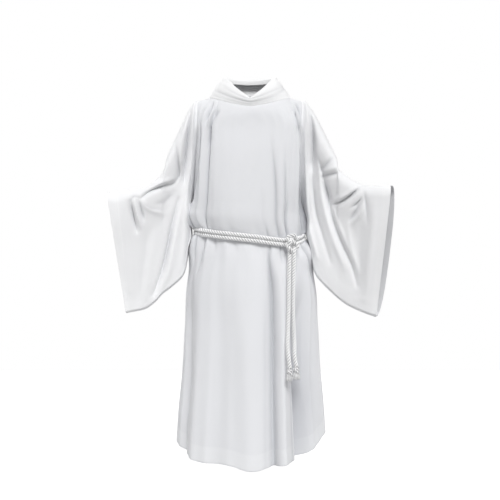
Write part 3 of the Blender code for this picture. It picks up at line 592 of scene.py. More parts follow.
def yoke_point(share, down, back):
    """The yoke from the top edge, at down 0, to the chest, at down 1: a cubic Bezier curve in each column
    that leaves the seam over the shoulder and arrives along the chest's own slope."""
    share, down = np.broadcast_arrays(np.asarray(share, float), np.asarray(down, float))
    way = 1.0 if back else -1.0
    bearing = bearing_of(share, back)
    top = yoke_top(share, back)
    chest = body_point(bearing, np.full(share.shape, CHEST_DROP), back=back)
    reach = YOKE_REACH * np.linalg.norm(chest - top, axis=-1, keepdims=True)
    size = np.abs(share)
    leave = unit(np.stack([0.25 * share * size, way * (0.5 + 0.5 * size), -0.8 * (1 - size**2)], axis=-1))
    after = body_point(bearing, np.full(share.shape, CHEST_DROP + 0.01), back=back)
    arrive = unit(chest - after)
    t = down[..., None]
    points = (
        (1 - t) ** 3 * top
        + 3 * (1 - t) ** 2 * t * (top + reach * leave)
        + 3 * (1 - t) * t**2 * (chest + reach * arrive)
        + t**3 * chest
    )
    here, round_here = body_push(bearing, CHEST_DROP * down, YOKE_RADIUS)
    chest_push, round_chest = body_push(bearing, np.full(down.shape, CHEST_DROP), YOKE_RADIUS)
    push = here * smooth(down * 2) - chest_push * smooth(down * 2 - 1)
    turn = round_here * smooth(down * 2) - round_chest * smooth(down * 2 - 1)
    lean = unit(np.stack([np.zeros_like(down), way * down, 1 - down], axis=-1))
    side = np.stack([np.ones_like(down), np.zeros_like(down), np.zeros_like(down)], axis=-1)
    turn = turn * smooth((1 - size) * 12) * (-way)
    return points + push[..., None] * lean + turn[..., None] * side


print("the shoulder seam ends at", np.round(yoke_top(np.array(1.0), False), 3))

# %% [markdown]
# ## The free ends of the rope come first
# A cincture is a rope tied at the waist, whose two ends hang down. A free end needs a true length and a
# route, so both are worked out before any cloth: from the knot, down over the skirt, to a knotted tassel.
# A rope here is three plies that turn round one another. A curve with a bevel could carry a picture of a
# twist, but real plies catch the light from every side. Each ply is a tube along a helix, and the helix is
# written straight from an angle, so that no ply needs a loop of its own.

# %% Lines and their frames
ROPE_RADIUS = 0.0075
ROPE_FULLNESS = 0.0086
ROPE_PITCH = 0.033
STRAND_SPACING = 0.0172
STRAND_CLEARANCE = 0.004
SEAM = 0.0003


def resampled(line, spacing, closed=False):
    """A line read again at even steps along its own length: the cubic through its points."""
    line = np.asarray(line, float)
    if closed:
        line = np.concatenate([line[-3:], line, line[:4]])
    length = lengths_along(line)
    first, last = (length[3], length[-4]) if closed else (0.0, length[-1])
    count = max(int(round((last - first) / spacing)), 3)
    at = np.linspace(first, last, count + 1)
    fine = through(length, line, at)
    return (fine[:-1] if closed else fine), last - first


def frames(line, reference, closed=False):
    """The tangent of a line, the part of a fixed direction at right angles to it, and their cross product."""
    if closed:
        tangent = np.roll(line, -1, axis=0) - np.roll(line, 1, axis=0)
    else:
        tangent = np.gradient(line, axis=0)
    tangent = unit(tangent)
    normal = unit(reference - (tangent @ reference)[:, None] * tangent)
    return tangent, normal, np.cross(tangent, normal)


print("a rope", 2 * ROPE_RADIUS, "m thick, one turn in", ROPE_PITCH, "m")

# %% Plies that turn round one another
PLIES = 3
PLY_SIDES = 10
PLY_SHARE = 0.464
PLY_REACH = 1 - PLY_SHARE


def tube_faces(rows, columns, closed_rows=False, start=0):
    """The quads of a tube of rows x columns points."""
    index = start + np.arange(rows * columns).reshape(rows, columns)
    index = np.column_stack([index, index[:, 0]])
    if closed_rows:
        index = np.concatenate([index, index[:1]])
    corners = (index[:-1, :-1], index[:-1, 1:], index[1:, 1:], index[1:, :-1])
    return np.stack(corners, axis=-1).reshape(-1, 4)


def twisted(line, length, reference, radius, closed=False, phase=0.0):
    """Points and faces of a rope of plies along a line. With s the place along it, ply k lies at the angle
    2 pi (s / ROPE_PITCH + k / PLIES) round it, and its section is a circle in the plane across the ply. The
    U of its UV map is 1 on a ply's outermost line and 0 on its innermost one, and V is s."""
    tangent, normal, side = frames(line, reference, closed)
    rows = len(line)
    s = np.linspace(0, length, rows, endpoint=not closed)
    turns = round(length / ROPE_PITCH) if closed else length / ROPE_PITCH
    angle = (math.tau * turns * s / length + phase)[:, None] + math.tau * np.arange(PLIES) / PLIES
    radial = np.cos(angle)[..., None] * normal[:, None] + np.sin(angle)[..., None] * side[:, None]
    around = -np.sin(angle)[..., None] * normal[:, None] + np.cos(angle)[..., None] * side[:, None]
    slope = math.tau * PLY_REACH * radius / ROPE_PITCH
    along = (tangent[:, None] + slope * around) / math.hypot(1, slope)
    across = np.cross(along, radial)
    turn = np.arange(PLY_SIDES) * math.tau / PLY_SIDES
    circle = np.cos(turn)[:, None] * radial[:, :, None] + np.sin(turn)[:, None] * across[:, :, None]
    centre = line[:, None] + PLY_REACH * radius * radial
    points = centre[:, :, None] + PLY_SHARE * radius * circle
    faces = [tube_faces(rows, PLY_SIDES, closed, k * rows * PLY_SIDES) for k in range(PLIES)]
    uv_u = np.broadcast_to((1 + np.cos(turn)) / 2, (PLIES, rows, PLY_SIDES))
    uv_v = np.broadcast_to(s[None, :, None], (PLIES, rows, PLY_SIDES))
    return points.transpose(1, 0, 2, 3).reshape(-1, 3), np.concatenate(faces), uv_u, uv_v, rows


def end_caps(rows):
    """Triangle fans would pinch here, so each open end of a ply is one flat face of its last ring."""
    rings = []
    for k in range(PLIES):
        base = k * rows * PLY_SIDES
        rings.append([base + n for n in range(PLY_SIDES)][::-1])
        rings.append([base + (rows - 1) * PLY_SIDES + n for n in range(PLY_SIDES)])
    return rings


print(PLIES, "plies of", PLY_SIDES, "sides each")

# %% Ropes as mesh objects
ROPE_STEP = 0.0026


def mesh_object(name, points, faces, uv=None, smooth_faces=True, extra=()):
    """A mesh object from points, quads and any further faces, with a UV map in metres per point."""
    mesh = bpy.data.meshes.new(name)
    polygons = np.asarray(faces).tolist() + [list(face) for face in extra]
    mesh.from_pydata(np.asarray(points).tolist(), [], polygons)
    if uv is not None:
        corner = np.empty(len(mesh.loops), np.int32)
        mesh.loops.foreach_get("vertex_index", corner)
        layer = mesh.uv_layers.new(name="metres")
        layer.data.foreach_set("uv", np.ascontiguousarray(uv[corner], np.float32).ravel())
    if smooth_faces:
        mesh.shade_smooth()
    return placed(name, mesh)


def rope_object(name, line, reference, radius=ROPE_FULLNESS, closed=False, spacing=ROPE_STEP, phase=0.0):
    """A rope along a line as one mesh, whose ends are closed, and its length."""
    fine, length = resampled(line, spacing, closed)
    made = twisted(fine, length, np.asarray(reference, float), radius, closed, phase)
    points, faces, uv_u, uv_v, rows = made
    uv = np.column_stack([uv_u.ravel(), uv_v.ravel()])
    caps = () if closed else end_caps(rows)
    return mesh_object(name, points, faces, uv, extra=caps), length


print("a ring of points every", ROPE_STEP * 1000, "mm of rope")

# %% [markdown]
# ## Where the knot sits, and how an end hangs
# The knot sits on the outside of the rope at the wearer's left front. From it each end hangs by its own
# weight: it lies against the skirt where the skirt stands out, and falls straight where the skirt draws back.
# A rope simulation would find the same line, but one pass over a table of drops is exact.

# %% The knot's place
KNOT_CORE = (0.023, 0.031, 0.014)
KNOT_CLEARANCE = 0.0025


def strand_points(bearings, step):
    """The middle line of one strand of the rope at the waist, step up or down from the cord's own line."""
    out = WALL / 2 + ROPE_RADIUS + STRAND_CLEARANCE
    points = body_point(bearings, np.full(len(bearings), CORD_DROP - step), out, plain=True)
    points[:, 2] = cord_height(bearings) + step
    return points


def knot_frame():
    """The knot's centre, on the outside of the rope, and its axes: along the rope, up and out."""
    reach = WALL / 2 + 2 * ROPE_RADIUS + STRAND_CLEARANCE + KNOT_CORE[2] + KNOT_CLEARANCE
    near = np.array([KNOT_BEARING - 2, KNOT_BEARING, KNOT_BEARING + 2])
    points = body_point(near, np.full(3, CORD_DROP), reach, plain=True)
    along = points[2] - points[0]
    along[2] = 0
    along = along / np.linalg.norm(along)
    centre = np.array([*points[1, :2], cord_height(KNOT_BEARING)])
    return centre, np.array([along, [0, 0, 1], [along[1], -along[0], 0]])


knot_centre, knot_axes = knot_frame()
print("knot at", np.round(knot_centre, 4))

# %% The free ends
Tail = namedtuple("Tail", "drop inner outer room")
TAILS = (
    Tail(0.602, 0.1530, 0.1700, 0.0075),
    Tail(0.700, 0.1500, 0.1675, 0.0075),
    Tail(0.820, 0.1480, 0.1660, 0.0080),
    Tail(0.900, 0.1455, 0.1685, 0.0090),
    Tail(0.955, 0.1440, 0.1715, 0.0120),
    Tail(1.000, 0.1475, 0.1715, 0.0170),
    Tail(1.040, 0.1520, 0.1785, 0.0180),
    Tail(1.095, 0.1525, 0.1830, 0.0180),
)
TAIL_END = 1.038
TAIL_POINTS = 24
TAIL_CLEARANCE = 0.004
TAIL_LEAN = 0.003
TAIL_PHASE = 1.1
LEFT_FRONT = np.linspace(5, 75, 141)


def body_front_y(x, drop, reach):
    """How far forward the skirt comes at a drop, within reach of x, on the wearer's left front."""
    points = body_point(LEFT_FRONT, np.full(len(LEFT_FRONT), drop), plain=True)
    across = np.linspace(x - reach, x + reach, 7)
    return np.interp(across, points[:, 0], points[:, 1]).min()


def tail_points(which):
    """The middle line of a free end, laid on the skirt from the knot to its tassel. It hangs straight down
    where the skirt draws back, so it never comes further back than above."""
    drops, inner, outer, room = columns_of(TAILS, *Tail._fields)
    x = outer if which else inner
    y = [body_front_y(*place) - place[2] - TAIL_CLEARANCE for place in zip(x, drops, room)]
    y[0] = knot_centre[1] - TAIL_LEAN
    y[1] = min(y[1], (y[0] + y[2]) / 2)
    y = np.minimum.accumulate(y)
    at = np.linspace(drops[0], TAIL_END, TAIL_POINTS)
    line = through(drops, np.column_stack([x, y]), at)
    return np.column_stack([line, -at])


tails = []
for which, name in enumerate(("inner", "outer")):
    line = tail_points(which)
    tail, length = rope_object(f"tail_rope_{name}", line, (0, -1, 0), phase=TAIL_PHASE * which)
    tails.append((tail, line, length))
    print(tail.name, f"{length:.4f} m", "from", np.round(line[0], 4), "to", np.round(line[-1], 4))

# %% [markdown]
# ## The rope round the waist, and the knot
# The rope goes twice round the waist as two parallel strands. The knot over them is five turns of the same
# rope, with a short stub above each free end. One long curve could be threaded through a true knot, but only
# the turns on its outside are ever seen, so each is an arc through three points of the knot's own frame.

# %% Strands round the waist
STRAND_POINTS = 46

waist_ropes = []
for name, step in (("upper", 0.5), ("lower", -0.5)):
    bearings = np.linspace(0, 360, STRAND_POINTS + 1)[:-1]
    line = strand_points(bearings, step * STRAND_SPACING)
    strand, length = rope_object(f"waist_rope_{name}", line, (0, 0, 1), closed=True, phase=step)
    waist_ropes.append(strand)
    print(strand.name, f"{length:.3f} m round")

# %% The knot
KNOT_ROPE = 0.0080
KNOT_STEP = 0.0018
STUB_TOP = 0.028
Arc = namedtuple("Arc", "along_0 up_0 out_0 along_1 up_1 out_1 along_2 up_2 out_2")
KNOT_ARCS = (
    Arc(-0.022, 0.016, 0.010, 0.001, 0.002, 0.031, 0.022, -0.014, 0.010),
    Arc(-0.020, -0.002, 0.010, -0.013, -0.026, 0.027, 0.010, -0.032, 0.010),
    Arc(-0.012, 0.022, 0.010, 0.006, 0.028, 0.025, 0.022, 0.010, 0.010),
    Arc(0.023, 0.002, 0.008, 0.024, -0.016, 0.022, 0.012, -0.030, 0.010),
    Arc(0.002, 0.020, 0.012, -0.016, 0.000, 0.027, -0.012, -0.020, 0.010),
)


def joined(name, pieces):
    """Several mesh objects as one, in the order given."""
    built = bmesh.new()
    for piece in pieces:
        built.from_mesh(piece.data)
    mesh = bpy.data.meshes.new(name)
    built.to_mesh(mesh)
    built.free()
    for piece in pieces:
        bpy.data.objects.remove(piece)
    return placed(name, mesh)


def knot_turns():
    """The turns of the knot and the stubs above the free ends. A turn is the parabola through its three
    points: (1 - f)^2 start + 2 f (1 - f) bend + f^2 end, where bend is twice the middle less the mean end."""
    f = np.linspace(0, 1, 9)[:, None]
    turns = []
    for number, arc in enumerate(KNOT_ARCS):
        start, middle, end = np.array(arc).reshape(3, 3)
        bend = 2 * middle - (start + end) / 2
        curve = (1 - f) ** 2 * start + 2 * f * (1 - f) * bend + f**2 * end
        curve = knot_centre + (curve - [0, 0, KNOT_CORE[2]]) @ knot_axes
        turn, _ = rope_object(f"turn_{number}", curve, knot_axes[2], KNOT_ROPE, spacing=KNOT_STEP)
        turns.append(turn)
    for which, (_, line, _) in enumerate(tails):
        back_up = unit(line[0] - line[1])
        foot = line[0] + SEAM * back_up
        stub = np.linspace(foot + STUB_TOP * back_up, foot, 4)
        turn, _ = rope_object(f"stub_{which}", stub, (0, -1, 0), spacing=KNOT_STEP)
        turns.append(turn)
    return turns


turns = knot_turns()
knot = joined("knot_rope", turns)
print(knot.name, "of", len(turns), "turns and stubs")

# %% [markdown]
# ## The tassels
# Each free end is tied in a knot, below which its yarns come apart in a brush. The knot is three wraps of
# rope round the end with one pass across them. Hair strands could make the brush, but they are lost on
# export, so the yarns are thin four-sided strands that leave the knot in rings and spread a little. Their
# lengths and directions are drawn with a seed, so each run is the same.

# %% The brush of a tassel
BRUSH_LENGTH = 0.031
YARNS = 110
YARN_RADIUS = 0.00085
YARN_STEPS = 9
YARN_WAVE = 0.0005
ROOT_SPREAD = 0.0098
ROOT_DROP = 0.005
TIP_SCATTER = 0.0007
GOLDEN_ANGLE = math.pi * (3 - math.sqrt(5))


def yarn_brush(name, centre, seed, spread, lean):
    """Yarns that leave a head and fall. Yarn n starts at n golden angles round the head, at a share of its
    radius that is the root of (n + 1/2) / YARNS, and bulges on its way to a tip further out. It has four
    sides, a slight wave and a thinner end."""
    draw = np.random.default_rng(seed)
    turn = np.arange(YARNS) * GOLDEN_ANGLE
    share = np.sqrt((np.arange(YARNS) + 0.5) / YARNS)
    out = np.column_stack([np.cos(turn), np.sin(turn), np.zeros(YARNS)])
    root = centre + out * (ROOT_SPREAD * share)[:, None] - [0, 0, ROOT_DROP]
    drop = BRUSH_LENGTH * (1 - 0.10 * share**2) * draw.uniform(0.86, 1.0, YARNS)
    tip = root + out * (spread * share * draw.uniform(0.6, 1.2, YARNS))[:, None] - [0, 0, 1] * drop[:, None]
    tip = tip + np.array([lean, 0, 0]) + draw.normal(0, TIP_SCATTER, (YARNS, 3)) * [1, 1, 0]
    t = np.linspace(0, 1, YARN_STEPS)[None, :, None]
    bulge = out[:, None] * (0.9 * spread * share)[:, None, None]
    line = root[:, None] * (1 - t) + tip[:, None] * t + bulge * t * (1 - t)
    wave = draw.uniform(0, math.tau, (YARNS, 1))
    level = np.zeros((YARNS, YARN_STEPS))
    sway = np.stack([np.sin(9 * t[..., 0] + wave), np.cos(7 * t[..., 0] + wave), level], axis=-1)
    line = line + YARN_WAVE * sway
    along = unit(np.gradient(line, axis=1))
    first = unit(np.cross(along, [0.0, 1.0, 0.2]))
    second = np.cross(along, first)
    thick = YARN_RADIUS * (1.15 - 0.75 * t[..., 0] ** 3)[..., None, None]
    corner = np.arange(4) * math.pi / 2 + math.pi / 4
    ring = np.cos(corner)[:, None] * first[:, :, None] + np.sin(corner)[:, None] * second[:, :, None]
    points = (line[:, :, None] + thick * ring).reshape(-1, 3)
    one = tube_faces(YARN_STEPS, 4)
    faces = (one[None] + (np.arange(YARNS) * YARN_STEPS * 4)[:, None, None]).reshape(-1, 4)
    start = np.arange(YARNS)[:, None] * YARN_STEPS * 4
    tips = start + (YARN_STEPS - 1) * 4 + np.arange(4)
    roots = start + np.arange(4)[::-1]
    faces = np.concatenate([faces, tips, roots])
    pale = np.repeat(draw.uniform(0.66, 1.0, YARNS), YARN_STEPS * 4)
    uv = np.column_stack([pale, np.repeat(line[..., 2].ravel(), 4)])
    return mesh_object(name, points, faces, uv)


print(YARNS, "yarns of", BRUSH_LENGTH, "m in each tassel")

# %% Tassels
TASSEL_HEAD = 0.0145
WRAPS = 3
WRAP_POINTS = 60
WRAP_TOP = 0.0105
WRAP_FOOT = -0.0085
WRAP_GIRTH = 0.0078
WRAP_ROUNDNESS = 0.019
WRAP_ROPE = 0.0042
WRAP_STEP = 0.0016
CORE_TOP = 0.0140
CORE_FOOT = -0.0100
CORE_ROPE = 0.0070
CORE_STEP = 0.0020


def tassel_wraps(centre):
    """The line of the wraps: a helix whose girth follows an ellipse over its height."""
    turn = np.linspace(0, WRAPS * math.tau, WRAP_POINTS)
    height = np.linspace(WRAP_TOP, WRAP_FOOT, WRAP_POINTS)
    girth = WRAP_GIRTH * np.sqrt(1 - (height / WRAP_ROUNDNESS) ** 2)
    return centre + np.column_stack([girth * np.cos(turn), girth * np.sin(turn), height])


def tassel(name, end, seed, spread, lean):
    """A knotted head below a free end, with its wraps, the pass across them in front and its core, and the
    brush below it."""
    centre = end - [0, 0, TASSEL_HEAD + SEAM]
    f = np.linspace(-1, 1, 12)
    crossing = centre + np.column_stack([0.0095 * f, -0.0125 + 0.006 * f**2, -0.010 * f - 0.001])
    core = centre + np.outer(np.linspace(CORE_TOP, CORE_FOOT, 8), [0, 0, 1])
    lines = (
        ("wrap", tassel_wraps(centre), (0, 0, 1), WRAP_ROPE, WRAP_STEP),
        ("pass", crossing, (0, -1, 0), WRAP_ROPE, WRAP_STEP),
        ("core", core, (0, -1, 0), CORE_ROPE, CORE_STEP),
    )
    pieces = []
    for part, line, reference, radius, step in lines:
        piece, _ = rope_object(f"{name}_{part}", line, reference, radius, spacing=step)
        pieces.append(piece)
    pieces.append(yarn_brush(f"{name}_yarns", centre, seed, spread, lean))
    return joined(name, pieces)


tassels = [
    tassel("tassel_inner", tails[0][1][-1], seed=5, spread=0.0042, lean=-0.0015),
    tassel("tassel_outer", tails[1][1][-1], seed=6, spread=0.0062, lean=0.0010),
]
print([piece.name for piece in tassels])

# %% [markdown]
# ## The panels
# The front and the back are each one sheet from the shoulders to the hem. A panel's grid has a row for each
# level and a column for each share of the way from side seam to side seam. At the hem the grid goes on
# round a small half circle and back up inside, as a hem is turned. At the seams it turns in, as a seam
# allowance does. A cloth modifier could drape a flat cut too, but each small change would move all its folds.

# %% Rows and columns of a panel
HEM_BAND = 0.062
TURN_IN = 0.0075
LAYER_STEP = 0.0024
FRONT_COLUMNS = 193
BACK_COLUMNS = 171
YOKE_STEPS = 26
SKIRT_TOP = 0.64


def spread_shares(count):
    """Shares from -1 to 1 that lie closer together towards the side seams."""
    t = np.linspace(-1, 1, count)
    return 0.6 * t + 0.4 * np.sin(math.pi / 2 * t)


def panel_rows():
    """The yoke's downs, then the drops: closer together near the rope, where the gathers are."""
    downs = np.linspace(0, 1, YOKE_STEPS + 1)[:-1]
    drops = [
        np.linspace(CHEST_DROP, UNDERARM_DROP, 56)[:-1],
        np.linspace(UNDERARM_DROP, SKIRT_TOP, 52)[:-1],
        np.linspace(SKIRT_TOP, HEM_DROP, 98),
    ]
    return downs, np.concatenate(drops)


print(sum(len(rows) for rows in panel_rows()), "rows from the top edge to the hem")

# %% Normals and lengths of a grid


def grid_normals(grid, closed=False):
    """Normals of a grid of points: the cross product of its two gradients."""
    down = np.gradient(grid, axis=0)
    if closed:
        across = np.roll(grid, -1, axis=1) - np.roll(grid, 1, axis=1)
    else:
        across = np.gradient(grid, axis=1)
    return unit(np.cross(down, across))


def arc_lengths(grid, axis):
    """Lengths along one axis of a grid, from 0."""
    steps = np.linalg.norm(np.diff(grid, axis=axis), axis=-1)
    total = np.cumsum(steps, axis=axis)
    first = np.zeros_like(total[:1] if axis == 0 else total[:, :1])
    return np.concatenate([first, total], axis=axis)


print("a step of 3 by 4 is", arc_lengths(np.array([[[0.0, 0.0], [3.0, 4.0]]]), 1)[0, 1], "long")

# %% A cloth from a grid
CLOTH = 0.0012
MAX_FACE = 0.2
FAR_U = 0.1


def cloth_object(name, grid, band, hollow, closed=False, outward=None):
    """A cloth of thickness CLOTH from a grid, with a UV map in metres and two attributes: band, which is 1
    on the doubled edge, and one for painted shade, which is 1 in the deepest folds."""
    rows, columns = grid.shape[:2]
    index = np.arange(rows * columns).reshape(rows, columns)
    u = arc_lengths(grid, 1)
    if closed:
        index = np.column_stack([index, index[:, 0]])
    else:
        u = u - u[:, columns // 2][:, None]
    v = arc_lengths(grid, 0)
    v = np.broadcast_to(v.mean(axis=1, keepdims=True), u.shape)
    uv = np.stack([u, v], axis=-1)
    corners = (index[:-1, :-1], index[1:, :-1], index[1:, 1:], index[:-1, 1:])
    faces = np.stack(corners, axis=-1).reshape(-1, 4)
    middle = grid.reshape(-1, 3).mean(axis=0) if outward is None else outward
    sample = grid_normals(grid, closed)[rows // 2]
    if np.sum(sample * (grid[rows // 2] - middle)) < 0:
        faces = faces[:, ::-1]
    mesh = bpy.data.meshes.new(name)
    mesh.from_pydata(grid.reshape(-1, 3).tolist(), [], faces.tolist())
    corner = np.empty(len(mesh.loops), np.int32)
    mesh.loops.foreach_get("vertex_index", corner)
    flat = uv.reshape(-1, 2)[corner]
    if closed:
        # The last column's faces meet the first again, so their far corners read one whole turn on.
        wide = np.repeat(np.ptp(flat[:, 0].reshape(-1, 4), axis=1) > MAX_FACE, 4)
        turn = np.linalg.norm(grid[:, 0] - grid[:, -1], axis=-1)
        whole = np.repeat((u[:, -1] + turn)[:, None], columns, axis=1).reshape(-1)[corner]
        flat[:, 0] = np.where(wide & (flat[:, 0] < FAR_U), flat[:, 0] + whole, flat[:, 0])
    layer = mesh.uv_layers.new(name="metres")
    layer.data.foreach_set("uv", np.ascontiguousarray(flat, np.float32).ravel())
    for mark, values in (("band", band), ("hollow", hollow)):
        layer = mesh.attributes.new(mark, "FLOAT", "POINT")
        layer.data.foreach_set("value", np.ascontiguousarray(values, np.float32).ravel())
    mesh.shade_smooth()
    made = placed(name, mesh)
    solid = made.modifiers.new("cloth", "SOLIDIFY")
    solid.thickness = CLOTH
    solid.offset = 0
    return made


print("cloth", CLOTH, "m thick")

# %% The front and the back
HEM_TURN = np.linspace(0, math.pi, 6)[1:]
FOLD_START = 0.002
FADE_IN = 0.004
BODY_MIDDLE = (0.0, 0.0, -0.7)


def panel_radius(drops, back):
    """The mean of half the body's width and its depth, at each drop."""
    keys, half_width, depth = columns_of(SECTIONS, "drop", "half_width", "back" if back else "front")
    return (through(keys, half_width, drops) + through(keys, depth, drops)) / 2


def panel_grid(back):
    """The front or the back from its turned top edge down to the hem and up inside it, with its band, which
    is 1 on the turned hem, and the shade painted into its folds, grooves and recesses."""
    shares = spread_shares(BACK_COLUMNS if back else FRONT_COLUMNS)
    downs, drops = panel_rows()
    yoke = yoke_point(shares[None], downs[:, None], back)
    bearing = bearing_of(shares, back)
    body = body_point(bearing[None], drops[:, None], back=back)
    turned_top = yoke[:1] - [0, 0, TURN_IN]
    around = HEM_TURN[:, None]
    shrink = LAYER_STEP / 2 * (np.cos(around) - 1)
    edge = body_point(bearing[None], np.full_like(shrink, HEM_DROP), shrink, back)
    edge[..., 2] -= LAYER_STEP / 2 * np.sin(around)
    inside_drop = HEM_DROP - np.linspace(FOLD_START, HEM_BAND, 14)[:, None]
    inside = body_point(bearing[None], inside_drop, -LAYER_STEP, back)
    grid = np.concatenate([turned_top, yoke, body, edge, inside])
    doubled = smooth((drops - HEM_DROP + HEM_BAND) / FADE_IN)
    band = np.concatenate([np.zeros(1 + len(downs)), doubled, np.ones(len(edge) + len(inside))])
    band = np.repeat(band[:, None], len(shares), axis=1)
    levels = [[0.0], CHEST_DROP * downs, drops, np.full(len(edge), HEM_DROP), inside_drop[:, 0]]
    levels = np.concatenate(levels)[:, None]
    hollow = body_painted_shade(bearing[None], levels, panel_radius(levels, back))
    # The side seams and the armholes turn in by one more column on each side.
    first = grid[:, :1] + [TURN_IN, 0, 0]
    last = grid[:, -1:] - [TURN_IN, 0, 0]
    grid = np.concatenate([first, grid, last], axis=1)
    band, hollow = (np.concatenate([mark[:, :1], mark, mark[:, -1:]], axis=1) for mark in (band, hollow))
    return grid, band, hollow


front_grid, *front_marks = panel_grid(False)
back_grid, *back_marks = panel_grid(True)
front_cloth = cloth_object("front_cloth", front_grid, *front_marks, outward=BODY_MIDDLE)
back_cloth = cloth_object("back_cloth", back_grid, *back_marks, outward=BODY_MIDDLE)
print("front", front_grid.shape[:2], "back", back_grid.shape[:2])

# %% [markdown]
# ## The sleeves
# A bell sleeve is a tube that starts on the armhole seam and grows towards a wide cuff. Its rings come from
# a table of sections: the top line along the arm, the lower edge of the hanging cloth, and the room in
# depth. A lofted surface through drawn curves would give the same tube, but a table keeps all sections
# side by side.

# %% Sections of the sleeves, in millimetres
Cuff = namedtuple("Cuff", "top top_z low low_z arm_y arm_room low_y low_room")
SLEEVE_RIGHT = (
    Cuff(222, -14, 244, -560, -4, 82, -6, 54),
    Cuff(245, -52, 249, -640, -16, 80, -28, 48),
    Cuff(270, -106, 264, -696, -32, 74, -50, 42),
    Cuff(301, -174, 307, -737, -56, 68, -78, 36),
    Cuff(323, -229, 341, -763, -78, 62, -90, 35),
    Cuff(335, -282, 368, -792, -97, 57, -100, 34),
    Cuff(368, -322, 396, -814, -120, 53, -112, 34),
    Cuff(404, -344, 416, -822, -143, 49, -124, 34),
    Cuff(440, -355, 434, -825, -165, 45, -134, 35),
    Cuff(486, -361, 455, -828, -190, 42, -146, 36),
    Cuff(538, -366, 474, -831, -214, 40, -158, 38),
)
SLEEVE_LEFT = (
    Cuff(224, -14, 237, -545, -4, 82, -6, 54),
    Cuff(252, -54, 244, -632, -16, 80, -26, 48),
    Cuff(285, -118, 258, -690, -32, 74, -46, 42),
    Cuff(317, -186, 288, -728, -54, 68, -70, 36),
    Cuff(337, -231, 319, -758, -74, 62, -84, 35),
    Cuff(343, -274, 346, -782, -95, 57, -94, 34),
    Cuff(374, -303, 373, -802, -118, 53, -106, 34),
    Cuff(410, -328, 400, -816, -142, 49, -118, 34),
    Cuff(444, -341, 426, -827, -165, 45, -130, 36),
    Cuff(487, -342, 453, -837, -190, 43, -142, 40),
    Cuff(531, -340, 482, -846, -212, 42, -152, 44),
)

print(len(SLEEVE_RIGHT), "sections in each sleeve")

# %% [markdown]
# ## Creases of the sleeves
# The arms are bent, so the cloth breaks in creases at the elbow, and long folds hang from the forearm. These
# could be sculpted with a brush, but a row of numbers can be moved by a millimetre and tried again. A row is
# one crease, in millimetres: the points of its line as seen from the front, each as how far out from the
# middle and how far down, its half width, its depth (a ridge if positive), how crisp it is from 0 to 1, and
# how far it laps over to the side on its left as its line runs.

# %% Creases of the right sleeve
Crease = namedtuple("Crease", "points half_width depth crisp lap", defaults=(0.0, 0.0))
CREASES_RIGHT_FRONT = (
    # Down from the shoulder: a ridge beside the seam, a thin dark crease, a broad swell.
    Crease((219, 48, 224, 164, 231, 261, 243, 358, 250, 470), 10, 13, 0.2),
    Crease((229, 40, 236, 106, 244, 183, 252, 261, 258, 330), 8, -26, 0.9, 4),
    Crease((252, 80, 264, 190, 272, 270), 16, 8),
    # The elbow's hook and the roll along the top of the forearm, with a dark line under it.
    Crease((288, 190, 282, 250, 278, 288, 284, 315, 305, 336), 8, -20, 0.9, -3),
    Crease((268, 205, 264, 262, 264, 310), 12, 8, 0.2),
    Crease((292, 332, 347, 350, 385, 366, 413, 390), 7, -22, 0.9, 5),
    Crease((294, 316, 339, 330, 385, 349, 418, 372), 10, 14, 0.2),
    # Two nested loops at the wrist.
    Crease((457, 400, 449, 450, 434, 515), 7, -24, 0.9, -4),
    Crease((426, 398, 416, 442, 407, 473), 7, -16, 0.9, -3),
    Crease((439, 392, 431, 446, 419, 500), 9, 12, 0.2),
    Crease((456, 404, 443, 383, 420, 388), 7, -8, 0.8),
    Crease((411, 398, 396, 424, 366, 440, 325, 451), 12, 10, 0.1),
    Crease((402, 412, 378, 428, 335, 434), 8, -6, 0.6),
    # The long fold from the elbow to the lower edge, and its ridge.
    Crease((279, 396, 302, 493, 317, 570, 337, 659, 373, 765), 11, -26, 0.6, 4),
    Crease((262, 400, 283, 505, 298, 582, 316, 675, 346, 760), 16, 12, 0.1),
    Crease((241, 470, 234, 552, 238, 630, 249, 690), 11, -18, 0.6, 3),
    Crease((252, 420, 252, 540, 262, 660), 14, 8),
    # Soft falls towards the cuff.
    Crease((500, 390, 490, 520, 462, 740), 26, 10),
    Crease((395, 520, 410, 640, 425, 780), 22, -6, 0.2),
    Crease((365, 520, 385, 640, 400, 790), 24, 6),
    Crease((300, 372, 330, 402, 368, 414), 10, -6, 0.6),
)
CREASES_RIGHT_BACK = (
    Crease((232, 60, 240, 200, 262, 420), 11, -22, 0.7, 4),
    Crease((290, 270, 330, 420, 350, 700), 18, -24, 0.6, 4),
    Crease((355, 350, 390, 480, 410, 760), 24, 13),
    Crease((440, 400, 445, 540, 432, 760), 18, -18, 0.6),
    Crease((262, 200, 296, 232, 330, 236), 9, -12, 0.8, 3),
    Crease((262, 260, 310, 300, 372, 318), 9, -14, 0.8, 3),
    Crease((300, 340, 345, 372, 420, 380), 10, -11, 0.7, 3),
    Crease((262, 340, 285, 480, 300, 660), 20, 10),
    Crease((478, 400, 476, 560, 455, 760), 22, 8),
)
print(len(CREASES_RIGHT_FRONT), "creases in front and", len(CREASES_RIGHT_BACK), "behind")

